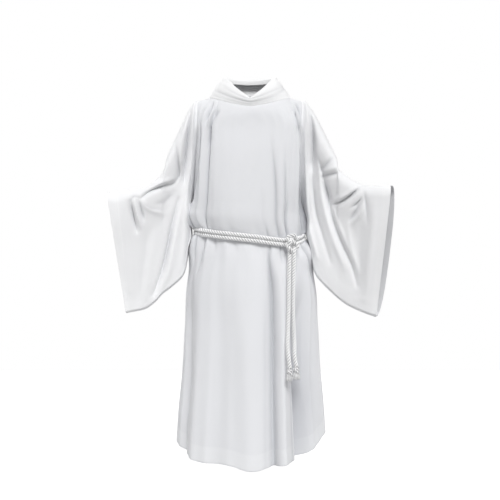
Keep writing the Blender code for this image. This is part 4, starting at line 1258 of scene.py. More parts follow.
# %% Creases of the left sleeve
CREASES_LEFT_FRONT = (
    # Down from the shoulder: a ridge beside the seam, a wide dark fold that runs on softly, a second ridge.
    Crease((212, 60, 215, 202, 219, 358, 230, 500, 262, 620), 13, 14, 0.2),
    Crease((232, 46, 240, 125, 244, 203, 242, 275), 13, -30, 0.7, 5),
    Crease((241, 250, 245, 358, 257, 455, 280, 532, 312, 640), 13, -12, 0.3, 3),
    Crease((256, 180, 267, 280, 279, 377, 298, 474, 329, 570, 367, 660), 15, 11, 0.1),
    Crease((263, 235, 286, 311, 302, 396, 319, 466, 348, 551, 388, 640, 412, 725), 10, -15, 0.5, 3),
    Crease((305, 330, 322, 440, 362, 545, 402, 635), 13, 8, 0.1),
    # The elbow: two short creases with a facet between them, and a dark pouch below.
    Crease((268, 290, 294, 264, 324, 230), 8, -10, 0.7, 3),
    Crease((278, 308, 313, 300, 352, 292), 8, -12, 0.7, 3),
    Crease((279, 294, 309, 278, 338, 268), 8, 9, 0.2),
    Crease((290, 335, 305, 380, 315, 420), 12, -16, 0.4, 3),
    # The roll along the forearm and the breaks near the wrist.
    Crease((312, 420, 358, 402, 396, 372, 437, 334), 8, -17, 0.8, 4),
    Crease((330, 396, 373, 376, 403, 350, 430, 324), 10, 12, 0.2),
    Crease((390, 425, 411, 411, 428, 388), 6, -12, 0.9, 3),
    Crease((383, 477, 404, 446, 424, 404), 8, -14, 0.8, 3),
    Crease((395, 485, 418, 452, 434, 410), 9, 8, 0.2),
    Crease((433, 350, 445, 415, 450, 490), 10, -10, 0.6, -3),
    # Soft falls towards the cuff.
    Crease((470, 420, 458, 560, 440, 770), 28, 12),
    Crease((430, 490, 422, 600, 428, 750), 26, -6, 0.1),
    Crease((372, 480, 392, 590, 420, 680), 14, 6),
)
CREASES_LEFT_BACK = (
    Crease((236, 60, 246, 200, 262, 420), 11, -22, 0.7, 4),
    Crease((300, 270, 320, 420, 330, 690), 18, -24, 0.6, 4),
    Crease((350, 340, 380, 480, 395, 740), 24, 13),
    Crease((450, 390, 448, 540, 430, 770), 18, -18, 0.6),
    Crease((262, 210, 302, 240, 338, 238), 9, -12, 0.8, 3),
    Crease((262, 280, 315, 305, 376, 300), 9, -14, 0.8, 3),
    Crease((300, 350, 350, 365, 425, 362), 10, -11, 0.7, 3),
    Crease((258, 330, 282, 480, 296, 650), 20, 10),
    Crease((480, 390, 480, 560, 462, 770), 22, 8),
)
print(len(CREASES_LEFT_FRONT), "creases in front and", len(CREASES_LEFT_BACK), "behind")

# %% [markdown]
# ## A sleeve's surface
# The first ring of a sleeve is the armhole's own seam, so the sleeve meets the panels along it. The next
# rings ease from that seam into the first section, and the rest run through the table down to the cuff. Each
# ring is an oblong, because a hanging sleeve is a round arm above and two layers of cloth below.

# %% The seam of the armhole
RING_HALF = 110
YOKE_ROWS = (0.0, 0.12, 0.28, 0.46, 0.64, 0.82)
TORSO_ROWS = (0.12, 0.16, 0.20, 0.245, 0.29, 0.33, 0.365, 0.395, 0.42, 0.44)
TORSO_START_ROW = len(YOKE_ROWS)
TORSO_END_ROW = TORSO_START_ROW + len(TORSO_ROWS) - 1
RING_ANGLE = np.arange(2 * RING_HALF) * math.pi / RING_HALF
RING_WAY = np.concatenate([-np.ones(RING_HALF), [0.0], np.ones(RING_HALF - 1)])


def armhole_ring(side):
    """The armhole seam from the shoulder down the front and up the back, on one side. Front and back have
    the same rows, so that the two edges meet the ring at the same heights."""
    place = np.linspace(0, TORSO_END_ROW, RING_HALF + 1)
    down = np.interp(place, range(TORSO_START_ROW + 1), YOKE_ROWS + (1.0,))
    drop = np.interp(place, range(TORSO_START_ROW, TORSO_END_ROW + 1), TORSO_ROWS)
    share = np.full(RING_HALF + 1, float(side))
    halves = []
    for back in (False, True):
        bearing = bearing_of(share, back)
        upper = yoke_point(share, down, back)
        lower = body_point(bearing, drop, back=back)
        halves.append(np.where((place < TORSO_START_ROW)[:, None], upper, lower))
    front, back = halves
    return np.concatenate([front, back[-2:0:-1]])


print("the armhole's ring has", len(armhole_ring(1)), "points")

# %% The push of creases
CREASE_STEPS = 20
CREASE_END = 0.06
CREASE_TAPER = 0.7


def crease_push(creases, out, up):
    """How far a table of creases pushes points of a sleeve in depth, out and up, seen from the front, and how
    much shade they paint in: at the distance a from a crease's line, depth times bell(a / half width), which
    tapers to the ends of the line as a sine to the power CREASE_TAPER."""
    depth = np.zeros(out.shape)
    hollow = np.zeros(out.shape)
    move_out = np.zeros(out.shape)
    move_up = np.zeros(out.shape)
    for crease in creases:
        points = np.array(crease.points).reshape(-1, 2) * [1, -1] / 1000
        places = np.linspace(0, len(points) - 1, CREASE_STEPS + 1)
        curve = through(np.arange(len(points)), points, places)
        nearest = np.full(out.shape, 1e9)
        place = np.zeros(out.shape)
        for number in range(len(curve) - 1):
            a, run = curve[number], curve[number + 1] - curve[number]
            along = np.clip(((out - a[0]) * run[0] + (up - a[1]) * run[1]) / (run @ run), 0, 1)
            away = np.hypot(out - a[0] - along * run[0], up - a[1] - along * run[1])
            closer = away < nearest
            place = np.where(closer, (number + along) / (len(curve) - 1), place)
            nearest = np.where(closer, away, nearest)
        taper = np.sin(math.pi * (CREASE_END + (1 - 2 * CREASE_END) * place)) ** CREASE_TAPER
        strength = taper * bell(nearest / crease.half_width * 1000, crease.crisp)
        depth = depth + crease.depth / 1000 * strength
        hollow = hollow + valley_painted_shade(crease.depth, crease.half_width, crease.crisp, strength)
        if crease.lap:
            heading = np.gradient(curve, axis=0)
            heading = heading / np.linalg.norm(heading, axis=1, keepdims=True)
            along = np.interp(place, np.linspace(0, 1, len(curve)), heading[:, 0])
            climb = np.interp(place, np.linspace(0, 1, len(curve)), heading[:, 1])
            move_out = move_out - crease.lap / 1000 * strength * climb
            move_up = move_up + crease.lap / 1000 * strength * along
    return depth, move_out, move_up, hollow


print(CREASE_STEPS, "steps along each crease")

# %% The rings of a sleeve
LOW_EDGE_ROOM = 0.012
ARM_TO_LOW = 0.17


def round_end(away, room):
    """A quarter circle from 0, at the distance 0, to 1, at the distance room."""
    return np.sqrt(np.maximum(1 - (1 - np.minimum(away / room, 1)) ** 2, 0))


def sleeve_sections(table, at):
    """Rings of a sleeve at places along its table, down the front and up the back. A ring is an oblong with
    a round top as wide as the arm's room and a lower edge that is rounded tightly."""
    keys = np.arange(1, len(table) + 1)
    top, top_z, low, low_z, arm_y, arm_room, low_y, low_room = (
        through(keys, column / 1000, at)[:, None] for column in columns_of(table, *Cuff._fields)
    )
    share = (1 - np.cos(math.pi * np.arange(RING_HALF + 1) / RING_HALF)) / 2
    share = np.concatenate([share, share[-2:0:-1]])[None]
    length = np.hypot(top - low, top_z - low_z)
    below = share * length
    ends = round_end(below, arm_room) * round_end(length - below, LOW_EDGE_ROOM)
    room = arm_room + (low_room - arm_room) * smooth((below - arm_room) / ARM_TO_LOW)
    x = top + (low - top) * share
    y = arm_y + (low_y - arm_y) * smooth(share) + RING_WAY * room * ends
    z = top_z + (low_z - top_z) * share
    return np.stack([np.broadcast_to(x, y.shape), y, np.broadcast_to(z, y.shape)], axis=-1)


print("a round end at half its room:", round(float(round_end(0.5, 1.0)), 3))

# %% The surface of a sleeve
SEAM_STEP = 0.0004
SEAM_LEAVE = (1.5, 0, 0.6)
ARRIVE_STEP = 0.05
UNDERARM_IN = 0.012
UNDERARM_HEIGHT = -0.535
UNDERARM_REACH = 0.040
UNDERARM_ROWS = (1, 3)
SLANT_ROWS = (6, 11)
SLEEVE_UNEVEN = 0.5
ROW_STEP = 0.06
FINEST_RIPPLE = 14
GROWN_AT = 0.6
SEAM_GROOVE_SHADE = 0.9
GROOVE_END = 0.30


def sleeve_rings_plain(side, table, rows):
    """Rings of a sleeve without creases: a Hermite curve from the armhole's seam, at 0, to the first section,
    at 1, then the sections. They are drawn in by UNDERARM_IN where the arm meets the body."""
    far = rows >= 1
    rings = np.zeros((len(rows), 2 * RING_HALF, 3))
    rings[far] = sleeve_sections(table, rows[far])
    seam = armhole_ring(side) * [side, 1, 1] + [SEAM_STEP, 0, 0]
    first, next_ring = sleeve_sections(table, np.array([1.0, 1.0 + ARRIVE_STEP]))
    t = rows[~far][:, None, None]
    leave = (first - seam) * SEAM_LEAVE
    arrive = (next_ring - first) / ARRIVE_STEP
    rings[~far] = (
        (2 * t**3 - 3 * t**2 + 1) * seam
        + (t**3 - 2 * t**2 + t) * leave
        + (3 * t**2 - 2 * t**3) * first
        + (t**3 - t**2) * arrive
    )
    near_arm = np.exp(-(((rings[..., 2] - UNDERARM_HEIGHT) / UNDERARM_REACH) ** 2))
    start, end = UNDERARM_ROWS
    rings[..., 0] -= UNDERARM_IN * near_arm * smooth((end - rows) / (end - start))[:, None]
    return rings


def sleeve_surface(side, table, front_creases, back_creases, rows, seed, slant):
    """Rings of a sleeve from the armhole, at 0, to the cuff, with its creases and ripples, and the shade
    painted into its creases and along the groove at the armhole seam. Slant moves the back of the cuff out,
    so that its inside shows past the front edge."""
    rings = sleeve_rings_plain(side, table, rows)
    rows = rows[:, None]
    bulge = np.abs(np.sin(RING_ANGLE))
    inside = np.minimum(1, 3 * bulge**2)
    grown = smooth(rows / GROWN_AT)
    front = crease_push(front_creases, rings[..., 0], rings[..., 2])
    back = crease_push(back_creases, rings[..., 0], rings[..., 2])
    pairs = zip(front, back)
    depth, move_out, move_up, hollow = (np.where(RING_WAY < 0, a, b) * inside * grown for a, b in pairs)
    uneven = ripples(RING_ANGLE[None], rows * ROW_STEP, seed, FINEST_RIPPLE)
    uneven = SLEEVE_UNEVEN * uneven * bulge**2 * grown
    start, end = SLANT_ROWS
    near_cuff = smooth((rows - start) / (end - start))
    rings[..., 0] += move_out + slant * np.sqrt(bulge) * (RING_WAY > 0) * near_cuff
    rings[..., 1] += RING_WAY * (depth + uneven)
    rings[..., 2] += move_up
    # Shade is painted along the groove where the sleeve leaves the armhole seam.
    groove = np.exp(-((rows / GROOVE_END) ** 2)) * np.sin(RING_ANGLE / 2) ** 2
    return rings, np.clip(hollow + SEAM_GROOVE_SHADE * groove, 0, 1)


print("the sleeves leave the armholes", SEAM_STEP * 1000, "mm outside the seam")

# %% [markdown]
# ## Cuffs
# A cuff is turned back inside and stitched. The turned cloth isn't a second object: the same grid goes round
# a half circle at the edge and back up the inside, one step inward, as a real turning does. Its inner face
# is painted in shade, because light reaches it only through the opening.

# %% Sleeves with their cuffs
SLEEVE_RINGS = 104
SEAM_RINGS = 22
CUFF_BAND = 0.026
CUFF_STEPS = 8
CUFF_FADE = 0.003
CUFF_SHADE = 0.55


def cuff_turning(rings):
    """The turned edge of a cuff and the rings back up inside it. With f the part of a step that is left over,
    a point lies at (1 - f) of one ring and f of the next, a LAYER_STEP inward."""
    last = rings[-1]
    inward = unit(last.mean(axis=0) - last)
    back_up = unit(rings[-4] - last)
    around = HEM_TURN[:, None, None]
    edge = last + LAYER_STEP / 2 * (1 - np.cos(around)) * inward - LAYER_STEP / 2 * np.sin(around) * back_up
    step = np.linalg.norm(rings[-1] - rings[-2], axis=-1)
    ring = np.arange(rings.shape[1])
    inside = []
    for place in np.linspace(FOLD_START, CUFF_BAND, CUFF_STEPS):
        part = np.clip(place / np.maximum(step, 1e-6), 0, len(rings) - 2)
        low = np.floor(part).astype(int)
        f = (part - low)[:, None]
        point = rings[len(rings) - 1 - low, ring] * (1 - f) + rings[len(rings) - 2 - low, ring] * f
        inside.append(point + LAYER_STEP * inward)
    return edge, np.array(inside)


def sleeve_grid(side, table, front_creases, back_creases, seed, slant):
    """A sleeve from a turned-in seam to a cuff that is turned back inside, with its band and its painted
    shade.
    """
    rows = np.concatenate([np.linspace(0, 1, SEAM_RINGS)[:-1], np.linspace(1, len(table), SLEEVE_RINGS)])
    rings, hollow = sleeve_surface(side, table, front_creases, back_creases, rows, seed, slant)
    seam = rings[:1] - [TURN_IN, 0, 0]
    edge, inside = cuff_turning(rings)
    from_edge = arc_lengths(rings[::-1], 0)[::-1].mean(axis=1)
    grid = np.concatenate([seam, rings, edge, inside]) * [side, 1, 1]
    turned_rows = len(edge) + len(inside)
    doubled = smooth((CUFF_BAND - from_edge) / CUFF_FADE + 1)
    band = np.concatenate([[0.0], doubled, np.ones(turned_rows)])
    band = np.repeat(band[:, None], grid.shape[1], axis=1)
    # The inside of the turned cuff is painted in shade, except where the turned edge begins.
    inner = np.full((turned_rows, grid.shape[1]), CUFF_SHADE)
    inner[: len(edge) // 2] = 0.0
    marks = band, np.concatenate([hollow[:1], hollow, inner])
    return grid, marks, rings * [side, 1, 1], from_edge


sleeve_parts = {
    "right": (-1, SLEEVE_RIGHT, CREASES_RIGHT_FRONT, CREASES_RIGHT_BACK, 21, 0.006),
    "left": (1, SLEEVE_LEFT, CREASES_LEFT_FRONT, CREASES_LEFT_BACK, 22, 0.034),
}
sleeves = {}
sleeve_rings = {}
for name, parts in sleeve_parts.items():
    grid, marks, rings, from_edge = sleeve_grid(*parts)
    cloth = cloth_object(f"sleeve_{name}_cloth", grid, *marks, closed=True)
    sleeves[name] = cloth
    sleeve_rings[name] = (rings, from_edge)
    print(cloth.name, grid.shape[:2])

# %% [markdown]
# ## The cowl collar
# The collar is a doubled band of the same cloth. It rises from the neck seam, rolls over and goes down
# inside, so it reads as a soft tube round the neck with slack folds lying along it. A torus would be too
# even, so the band goes through the collar loops, and each slack fold is a roll that winds slantwise from one
# bearing and place in the table of loops to another.

# %% Rolls of the collar
Roll = namedtuple("Roll", "bearing_0 place_0 bearing_1 place_1 half_width depth")
COLLAR_ROLLS = (
    Roll(-100, 1.6, 60, 1.0, 0.40, -0.0022),
    Roll(-60, 2.4, 100, 2.0, 0.38, -0.0024),
    Roll(-150, 2.2, -30, 3.0, 0.34, 0.0016),
    Roll(20, 1.2, 150, 2.4, 0.34, -0.0020),
    Roll(70, 2.9, 200, 2.0, 0.36, 0.0016),
    Roll(120, 1.2, 250, 2.6, 0.36, -0.0022),
    Roll(170, 3.0, 290, 1.6, 0.34, -0.0018),
    Roll(-70, 4.2, 40, 4.6, 0.40, -0.0018),
)
ROLL_CRISP = 0.4
ROLL_PAINTED_SHADE = 0.35


def roll_shape(roll, bearings, places):
    """How strong a roll is at each place and bearing: a bell across it that swells and dies out along it."""
    along = (((bearings - roll.bearing_0) % 360) / (roll.bearing_1 - roll.bearing_0))[None]
    middle = roll.place_0 + (roll.place_1 - roll.place_0) * along
    strength = np.where(along < 1, np.sin(math.pi * np.clip(along, 0, 1)) ** 0.8, 0)
    return strength * bell((places[:, None] - middle) / roll.half_width, ROLL_CRISP)


print(len(COLLAR_ROLLS), "rolls")

# %% The collar
COLLAR_COLUMNS = 260
COLLAR_ROWS = 62
COLLAR_SEED = 31
FRONT_DIP = 0.0075
DIP_SPREAD = 9.0
DIP_PLACES = (2.2, 3.4)
COLLAR_UNEVEN = 0.4
SEAM_BEAD = 0.0022
SEAM_BEAD_REACH = 0.35
TUCK = (0.0035, 0.004)


def collar_grid():
    """Loops of the collar at all places of the table, with a beaded seam, a slight V in front and the rolls,
    and the shade painted into the rolls that sink in. The first row is tucked under the seam."""
    bearings = np.linspace(-180, 180, COLLAR_COLUMNS + 1)[:-1]
    places = np.linspace(0, len(COLLAR) - 1, COLLAR_ROWS)
    values = through(np.arange(len(COLLAR)), np.array(COLLAR), places)
    grid = np.array([neck_point(Loop(*row), bearings) for row in values])
    front = np.exp(-np.abs(bearings) / DIP_SPREAD)[None]
    start, end = DIP_PLACES
    grid[..., 2] -= FRONT_DIP * front * smooth((places - start) / (end - start))[:, None]
    normal = grid_normals(grid, closed=True)
    normal = normal * np.sign(np.sum(normal[8] * (grid[8] - [0, 0, grid[8, :, 2].mean()])))
    push = np.zeros(grid.shape[:2])
    hollow = np.zeros(grid.shape[:2])
    for roll in COLLAR_ROLLS:
        shape = roll_shape(roll, bearings, places)
        push += roll.depth * shape
        # Shade is painted into each roll that sinks in.
        hollow += ROLL_PAINTED_SHADE * (roll.depth < 0) * shape
    angle = np.radians(bearings)[None]
    push += COLLAR_UNEVEN * ripples(angle, places[:, None] * 0.05, COLLAR_SEED, 12)
    push += SEAM_BEAD * np.exp(-((places / SEAM_BEAD_REACH) ** 2))[:, None]
    grid = grid + push[..., None] * normal
    tuck = grid[:1] - [0, 0, TUCK[1]] - TUCK[0] * normal[:1]
    return np.concatenate([tuck, grid]), np.concatenate([hollow[:1], hollow])


collar, collar_painted_shade = collar_grid()
no_band = np.zeros(collar.shape[:2])
collar_cloth = cloth_object("cowl_collar_cloth", collar, no_band, collar_painted_shade, closed=True)
print(collar_cloth.name, collar.shape[:2])

# %% [markdown]
# ## Stitching
# The hem and the cuffs are turned up and stitched. A line of thread could be drawn in the finish, but real
# thread stands up from the cloth. So each stitch is a small slab of thread that lies on it, three millimetres
# long, and a row of stitches follows one level of the cloth's own surface.

# %% A row of stitches
STITCH_PITCH = 0.0042
STITCH = (0.0030, 0.00055, 0.00035)
STITCH_TOP = 0.72
NEARBY = 0.0005


def stitch_row(name, line, normal):
    """Slabs of thread along a line on a cloth: length, width and height from STITCH, one in each pitch."""
    length = lengths_along(line)
    count = int(length[-1] / STITCH_PITCH)
    at = (np.arange(count) + 0.5) * length[-1] / count

    def read(values, places):
        return np.column_stack([np.interp(places, length, values[:, axis]) for axis in range(3)])

    centre = read(line, at)
    out = unit(read(normal, at))
    along = unit(read(line, at + NEARBY) - read(line, at - NEARBY))
    across = unit(np.cross(out, along))
    out = np.cross(along, across)
    centre = centre + out * (CLOTH / 2)
    half = np.array(STITCH) / 2
    signs = np.array([[x, y, z] for x in (-1, 1) for y in (-1, 1) for z in (-1, 1)])
    offsets = signs * half
    # The top of a stitch is shorter than its foot, so its ends dip into the cloth.
    offsets[:, 0] = np.where(signs[:, 2] > 0, offsets[:, 0] * STITCH_TOP, offsets[:, 0])
    axes = np.stack([along, across, out], axis=1)
    points = (centre[:, None] + offsets @ axes).reshape(-1, 3)
    cube = np.array([[0, 1, 3, 2], [4, 6, 7, 5], [0, 4, 5, 1], [2, 3, 7, 6], [0, 2, 6, 4], [1, 5, 7, 3]])
    faces = (cube[None] + 8 * np.arange(count)[:, None, None]).reshape(-1, 4)
    return mesh_object(name, points, faces, np.zeros((len(points), 2)), smooth_faces=False)


print("a stitch every", STITCH_PITCH * 1000, "mm")

# %% Stitches of the hem and the cuffs
STITCHED_SHARE = 0.995
ROW_POINTS = 500
FROM_BAND_EDGE = 0.003


def body_stitches(name, back, drop):
    """One row of stitches round half of the body at a drop."""
    shares = np.linspace(-STITCHED_SHARE, STITCHED_SHARE, ROW_POINTS)
    bearing = bearing_of(shares, back)
    level = np.full(ROW_POINTS, drop)
    line = body_point(bearing, level, back=back)
    out = body_point(bearing, level, 0.001, back)
    return stitch_row(name, line, out - line)


def ring_stitches(name, rings, from_edge, distance):
    """One row of stitches round a sleeve at a distance from its cuff."""
    number = int(np.argmin(np.abs(from_edge - distance)))
    ring = rings[number]
    normal = grid_normals(rings, closed=True)[number]
    middle = ring.mean(axis=0)
    facing = np.sign(np.sum(normal * (ring - middle), axis=1, keepdims=True))
    normal = normal * np.where(facing == 0, 1, facing)
    closed = np.concatenate([ring, ring[:1]])
    return stitch_row(name, closed, np.concatenate([normal, normal[:1]]))


hem_level = HEM_DROP - HEM_BAND + FROM_BAND_EDGE
cuff_distance = CUFF_BAND - FROM_BAND_EDGE
stitching = {
    "front": body_stitches("hem_stitches_front", False, hem_level),
    "back": body_stitches("hem_stitches_back", True, hem_level),
    "right": ring_stitches("cuff_stitches_right", *sleeve_rings["right"], cuff_distance),
    "left": ring_stitches("cuff_stitches_left", *sleeve_rings["left"], cuff_distance),
}
print({name: len(piece.data.polygons) // 6 for name, piece in stitching.items()}, "stitches")

# %% [markdown]
# ## Shaders as arithmetic
# A finish is a tree of nodes. It could be wired up link by link, but it is easier to read as a formula. The
# first class below wraps one output socket, and its operators make Math nodes, so that `a * 0.3 + b` builds
# two nodes and returns the result's socket. The reflected operators let a number come first, as in 1 - mask.

# %% A socket that takes part in formulas


class Socket:
    """An output socket that can be added to, taken from and multiplied with numbers and other sockets."""

    def __init__(self, tree, output):
        self.tree, self.output = tree, output

    def math(self, operation, other=None):
        """One Math node that takes this socket first and a second value, if there is one."""
        node = self.tree.nodes.new("ShaderNodeMath")
        node.operation = operation
        feed(self.tree, node.inputs[0], self)
        if other is not None:
            feed(self.tree, node.inputs[1], other)
        return Socket(self.tree, node.outputs[0])

    def __add__(self, other):
        return self.math("ADD", other)

    def __radd__(self, other):
        return self.math("ADD", other)

    def __mul__(self, other):
        return self.math("MULTIPLY", other)

    def __rmul__(self, other):
        return self.math("MULTIPLY", other)

    def __sub__(self, other):
        return self.math("SUBTRACT", other)

    def __rsub__(self, other):
        return (self * -1.0).math("ADD", other)

    def sine(self):
        """The sine of the value, in radians."""
        return self.math("SINE")


def feed(tree, target, value):
    """Links a Socket to an input, or sets a number or a tuple on it."""
    if isinstance(value, Socket):
        tree.links.new(value.output, target)
    else:
        target.default_value = value


def camera_ray(tree):
    """1 on a ray from the camera itself, and 0 on a ray that gathers light for a surface."""
    return Socket(tree, tree.nodes.new("ShaderNodeLightPath").outputs["Is Camera Ray"])


print("reflected operators:", ", ".join(sorted(name for name in vars(Socket) if name.startswith("__r"))))

# %% A material made by name


class Shader:
    """A material whose nodes are made by name, with settings first and inputs after."""

    def __init__(self, name, **constants):
        self.material = bpy.data.materials.new(name)
        self.material.use_nodes = True
        self.tree = self.material.node_tree
        self.surface = self.tree.nodes["Principled BSDF"]
        for key, value in constants.items():
            self.surface.inputs[key.replace("_", " ")].default_value = value

    def node(self, kind, settings=None, output=0, **inputs):
        """A node of a kind, with its settings and inputs, and the socket of one of its outputs."""
        made = self.tree.nodes.new(kind)
        for key, value in (settings or {}).items():
            setattr(made, key, value)
        for key, value in inputs.items():
            feed(self.tree, made.inputs[key.replace("_", " ")], value)
        return Socket(self.tree, made.outputs[output])

    def split(self, vector):
        """The three parts of a vector."""
        made = self.tree.nodes.new("ShaderNodeSeparateXYZ")
        feed(self.tree, made.inputs[0], vector)
        return tuple(Socket(self.tree, output) for output in made.outputs)

    def join(self, x, y, z=0.0):
        """A vector of three parts."""
        return self.node("ShaderNodeCombineXYZ", X=x, Y=y, Z=z)

    def noise(self, vector, scale, detail=2.0, roughness=0.5):
        """Cloudy noise from 0 to 1, with more and finer clouds at a larger scale and detail."""
        return self.node("ShaderNodeTexNoise", Vector=vector, Scale=scale, Detail=detail, Roughness=roughness)

    def color(self, factor, first, second):
        """(1 - factor) times the first colour plus factor times the second one."""
        made = self.tree.nodes.new("ShaderNodeMix")
        made.data_type = "RGBA"
        feed(self.tree, made.inputs[0], factor)
        feed(self.tree, made.inputs[6], first)
        feed(self.tree, made.inputs[7], second)
        return Socket(self.tree, made.outputs[2])

    def finish(self, height, strength, **varying):
        """Dents the surface by a height in metres, sets what varies over it, and returns the material."""
        normal = self.node("ShaderNodeBump", Height=height, Strength=strength, Distance=1.0)
        for key, value in {"Normal": normal, **varying}.items():
            feed(self.tree, self.surface.inputs[key.replace("_", " ")], value)
        return self.material


print("a Shader makes nodes by name and a bump from a height in metres")

# %% [markdown]
# ## The finish of the cloth
# The cloth is a plain weave: the warp and the weft are two sets of fine ridges that take turns to lie on top,
# with a thicker yarn now and then, called a slub. It is matt and slightly hairy, which sheen gives. A picture
# of linen could be laid on it, but formulas stay sharp at any distance and follow each piece's own metres.
# The body is a little greyer than the sleeves, and the collar, two layers thick, is the whitest. The sleeves
# and the collar are also painted lighter than the body, as painted light that the lamps don't give them.
# Doubled hems are lighter, and shade is painted in where the cloth marks deep folds, grooves and recesses.

# %% Cloth
BODY_CLOTH = ((0.790, 0.797, 0.822, 1.0), (0.840, 0.847, 0.867, 1.0))
# The sleeve and collar tones are lighter copies of the body's cloth: painted light.
SLEEVE_CLOTH_PAINTED_LIGHTER = ((0.900, 0.903, 0.916, 1.0), (0.945, 0.948, 0.957, 1.0))
COLLAR_CLOTH_PAINTED_LIGHTER = ((0.955, 0.957, 0.963, 1.0), (0.980, 0.981, 0.985, 1.0))
# The colour of the painted shade in deep folds, grooves and recesses.
CLOTH_PAINTED_SHADE = (0.42, 0.43, 0.46, 1.0)
PAINTED_SHADE_SHARE = 0.66
YARN_PITCH = 0.00055
WEAVE_HEIGHT = 0.00008
SLUB_HEIGHT = 0.00016
CRUMPLE_HEIGHT = 0.0011
BUMP_STRENGTH = 0.9
SLUB_LONG = 90.0
SLUB_THIN = 2400.0


def cloth_material(name, shade, light):
    """A woven finish. The weave is sin(2 pi u / pitch) sin(2 pi v / pitch), slubs are noise drawn out along
    the warp and the weft, and the tone is clouds, slubs and the band together, from shade to light. Shade is
    painted over it where the painted shade attribute marks folds, grooves and recesses."""
    shader = Shader(
        name,
        Roughness=0.85,
        Specular_IOR_Level=0.25,
        Sheen_Weight=0.25,
        Sheen_Roughness=0.45,
        Sheen_Tint=(1.0, 1.0, 1.0, 1.0),
    )
    place = shader.node("ShaderNodeUVMap", {"uv_map": "metres"})
    u, v, _ = shader.split(place)
    warp = (u * (math.tau / YARN_PITCH)).sine()
    weft = (v * (math.tau / YARN_PITCH)).sine()
    weave = warp * weft
    slub_across = shader.noise(shader.join(u * SLUB_LONG, v * SLUB_THIN), 1.0, 2.0)
    slub_down = shader.noise(shader.join(u * SLUB_THIN, v * SLUB_LONG), 1.0, 2.0)
    slubs = (slub_across + slub_down) * 0.5
    crumple = shader.noise(shader.join(u * 1.0, v * 0.55), 26.0, 3.0, 0.55)
    cloudy = shader.noise(shader.join(u, v), 7.0, 3.0)
    band = shader.node("ShaderNodeAttribute", {"attribute_name": "band"}, output=2)
    # The painted shade attribute, which darkens the base colour in folds, grooves and recesses.
    hollow = shader.node("ShaderNodeAttribute", {"attribute_name": "hollow"}, output=2)
    tone = cloudy * 0.5 + slubs * 0.35 + weave * 0.04 + band * 0.8
    return shader.finish(
        weave * WEAVE_HEIGHT + slubs * SLUB_HEIGHT + crumple * CRUMPLE_HEIGHT,
        BUMP_STRENGTH,
        Base_Color=shader.color(hollow * PAINTED_SHADE_SHARE, shader.color(tone, shade, light), CLOTH_PAINTED_SHADE),
        Roughness=cloudy * 0.12 + slubs * 0.08 + 0.76,
    )


body_look = cloth_material("white_cloth_body", *BODY_CLOTH)
sleeve_painted_light_look = cloth_material("white_cloth_sleeves_painted_lighter", *SLEEVE_CLOTH_PAINTED_LIGHTER)
collar_painted_light_look = cloth_material("white_cloth_collar_painted_lighter", *COLLAR_CLOTH_PAINTED_LIGHTER)
print([look.name for look in (body_look, sleeve_painted_light_look, collar_painted_light_look)])

# %% [markdown]
# ## The finish of the rope and the thread
# Shade is painted into the grooves between the plies of the rope and light onto the outermost line of each
# ply.
# The U of a ply's map says how far out a point lies, so the painted tone rises with U, and the twist stays
# visible in flat light too. Fibres and stray hairs run along the ply. The thread is a plain grainy white.

# %% Rope
# Painted shade in the grooves between plies, and painted light on the ply tops.
ROPE_SHADE = (0.40, 0.40, 0.42, 1.0)
ROPE_LIGHT = (0.99, 0.99, 0.99, 1.0)
GROOVE_END_U = 0.60
GROOVE_STEEPNESS = 3.8
YARN_TURNS = 3.0
YARN_LINES = 120.0


def rope_material(name):
    """A plied finish. Its tone is (u - GROOVE_END_U) GROOVE_STEEPNESS and a little noise, which paints shade
    into the grooves between plies and light onto their tops, and its yarns are slanting lines,
    sin(2 pi (YARN_TURNS u + YARN_LINES v))."""
    shader = Shader(name, Roughness=0.8, Specular_IOR_Level=0.25, Sheen_Weight=0.20, Sheen_Roughness=0.5)
    place = shader.node("ShaderNodeUVMap", {"uv_map": "metres"})
    u, v, _ = shader.split(place)
    fibre = shader.noise(shader.join(u * 14.0, v * 160.0), 1.0, 3.0)
    lines = ((u * YARN_TURNS + v * YARN_LINES) * math.tau).sine()
    hair = shader.noise(shader.join(u * 60.0, v * 900.0), 1.0, 2.0)
    # Painted shade and light by U, with fibres and hairs on top.
    tone = (u - GROOVE_END_U) * GROOVE_STEEPNESS + fibre * 0.2 + hair * 0.1
    return shader.finish(
        lines * 0.00010 + fibre * 0.0004 + hair * 0.00015,
        BUMP_STRENGTH,
        Base_Color=shader.color(tone, ROPE_SHADE, ROPE_LIGHT),
        Roughness=fibre * 0.15 + 0.70,
    )


rope_look = rope_material("white_rope_plied")
print(rope_look.name, "has", len(rope_look.node_tree.nodes), "nodes")

# %% Thread
THREAD_SHADE = (0.74, 0.75, 0.76, 1.0)
THREAD_LIGHT = (0.84, 0.85, 0.86, 1.0)
THREAD_GRAIN = 2400.0


def thread_material(name):
    """A grainy finish: noise over the object's own metres, as a height and as a tone."""
    shader = Shader(name, Roughness=0.7, Specular_IOR_Level=0.3, Sheen_Weight=0.1)
    place = shader.node("ShaderNodeTexCoord", output=3)
    grain = shader.noise(place, THREAD_GRAIN, 2.0)
    return shader.finish(grain * 0.0001, 0.6, Base_Color=shader.color(grain, THREAD_SHADE, THREAD_LIGHT))


thread_look = thread_material("white_thread")
print(thread_look.name, "has", len(thread_look.node_tree.nodes), "nodes")

# %% Finishes onto pieces
cloths = [front_cloth, back_cloth, sleeves["right"], sleeves["left"], collar_cloth]
cloth_looks = [body_look, body_look, sleeve_painted_light_look, sleeve_painted_light_look, collar_painted_light_look]
ropes = waist_ropes + [knot] + [tail for tail, _, _ in tails] + tassels
for piece, look in zip(cloths, cloth_looks):
    piece.data.materials.append(look)
for piece in ropes:
    piece.data.materials.append(rope_look)
for piece in stitching.values():
    piece.data.materials.append(thread_look)
print(len(cloths), "cloths,", len(ropes), "ropes and tassels,", len(stitching), "rows of stitches")
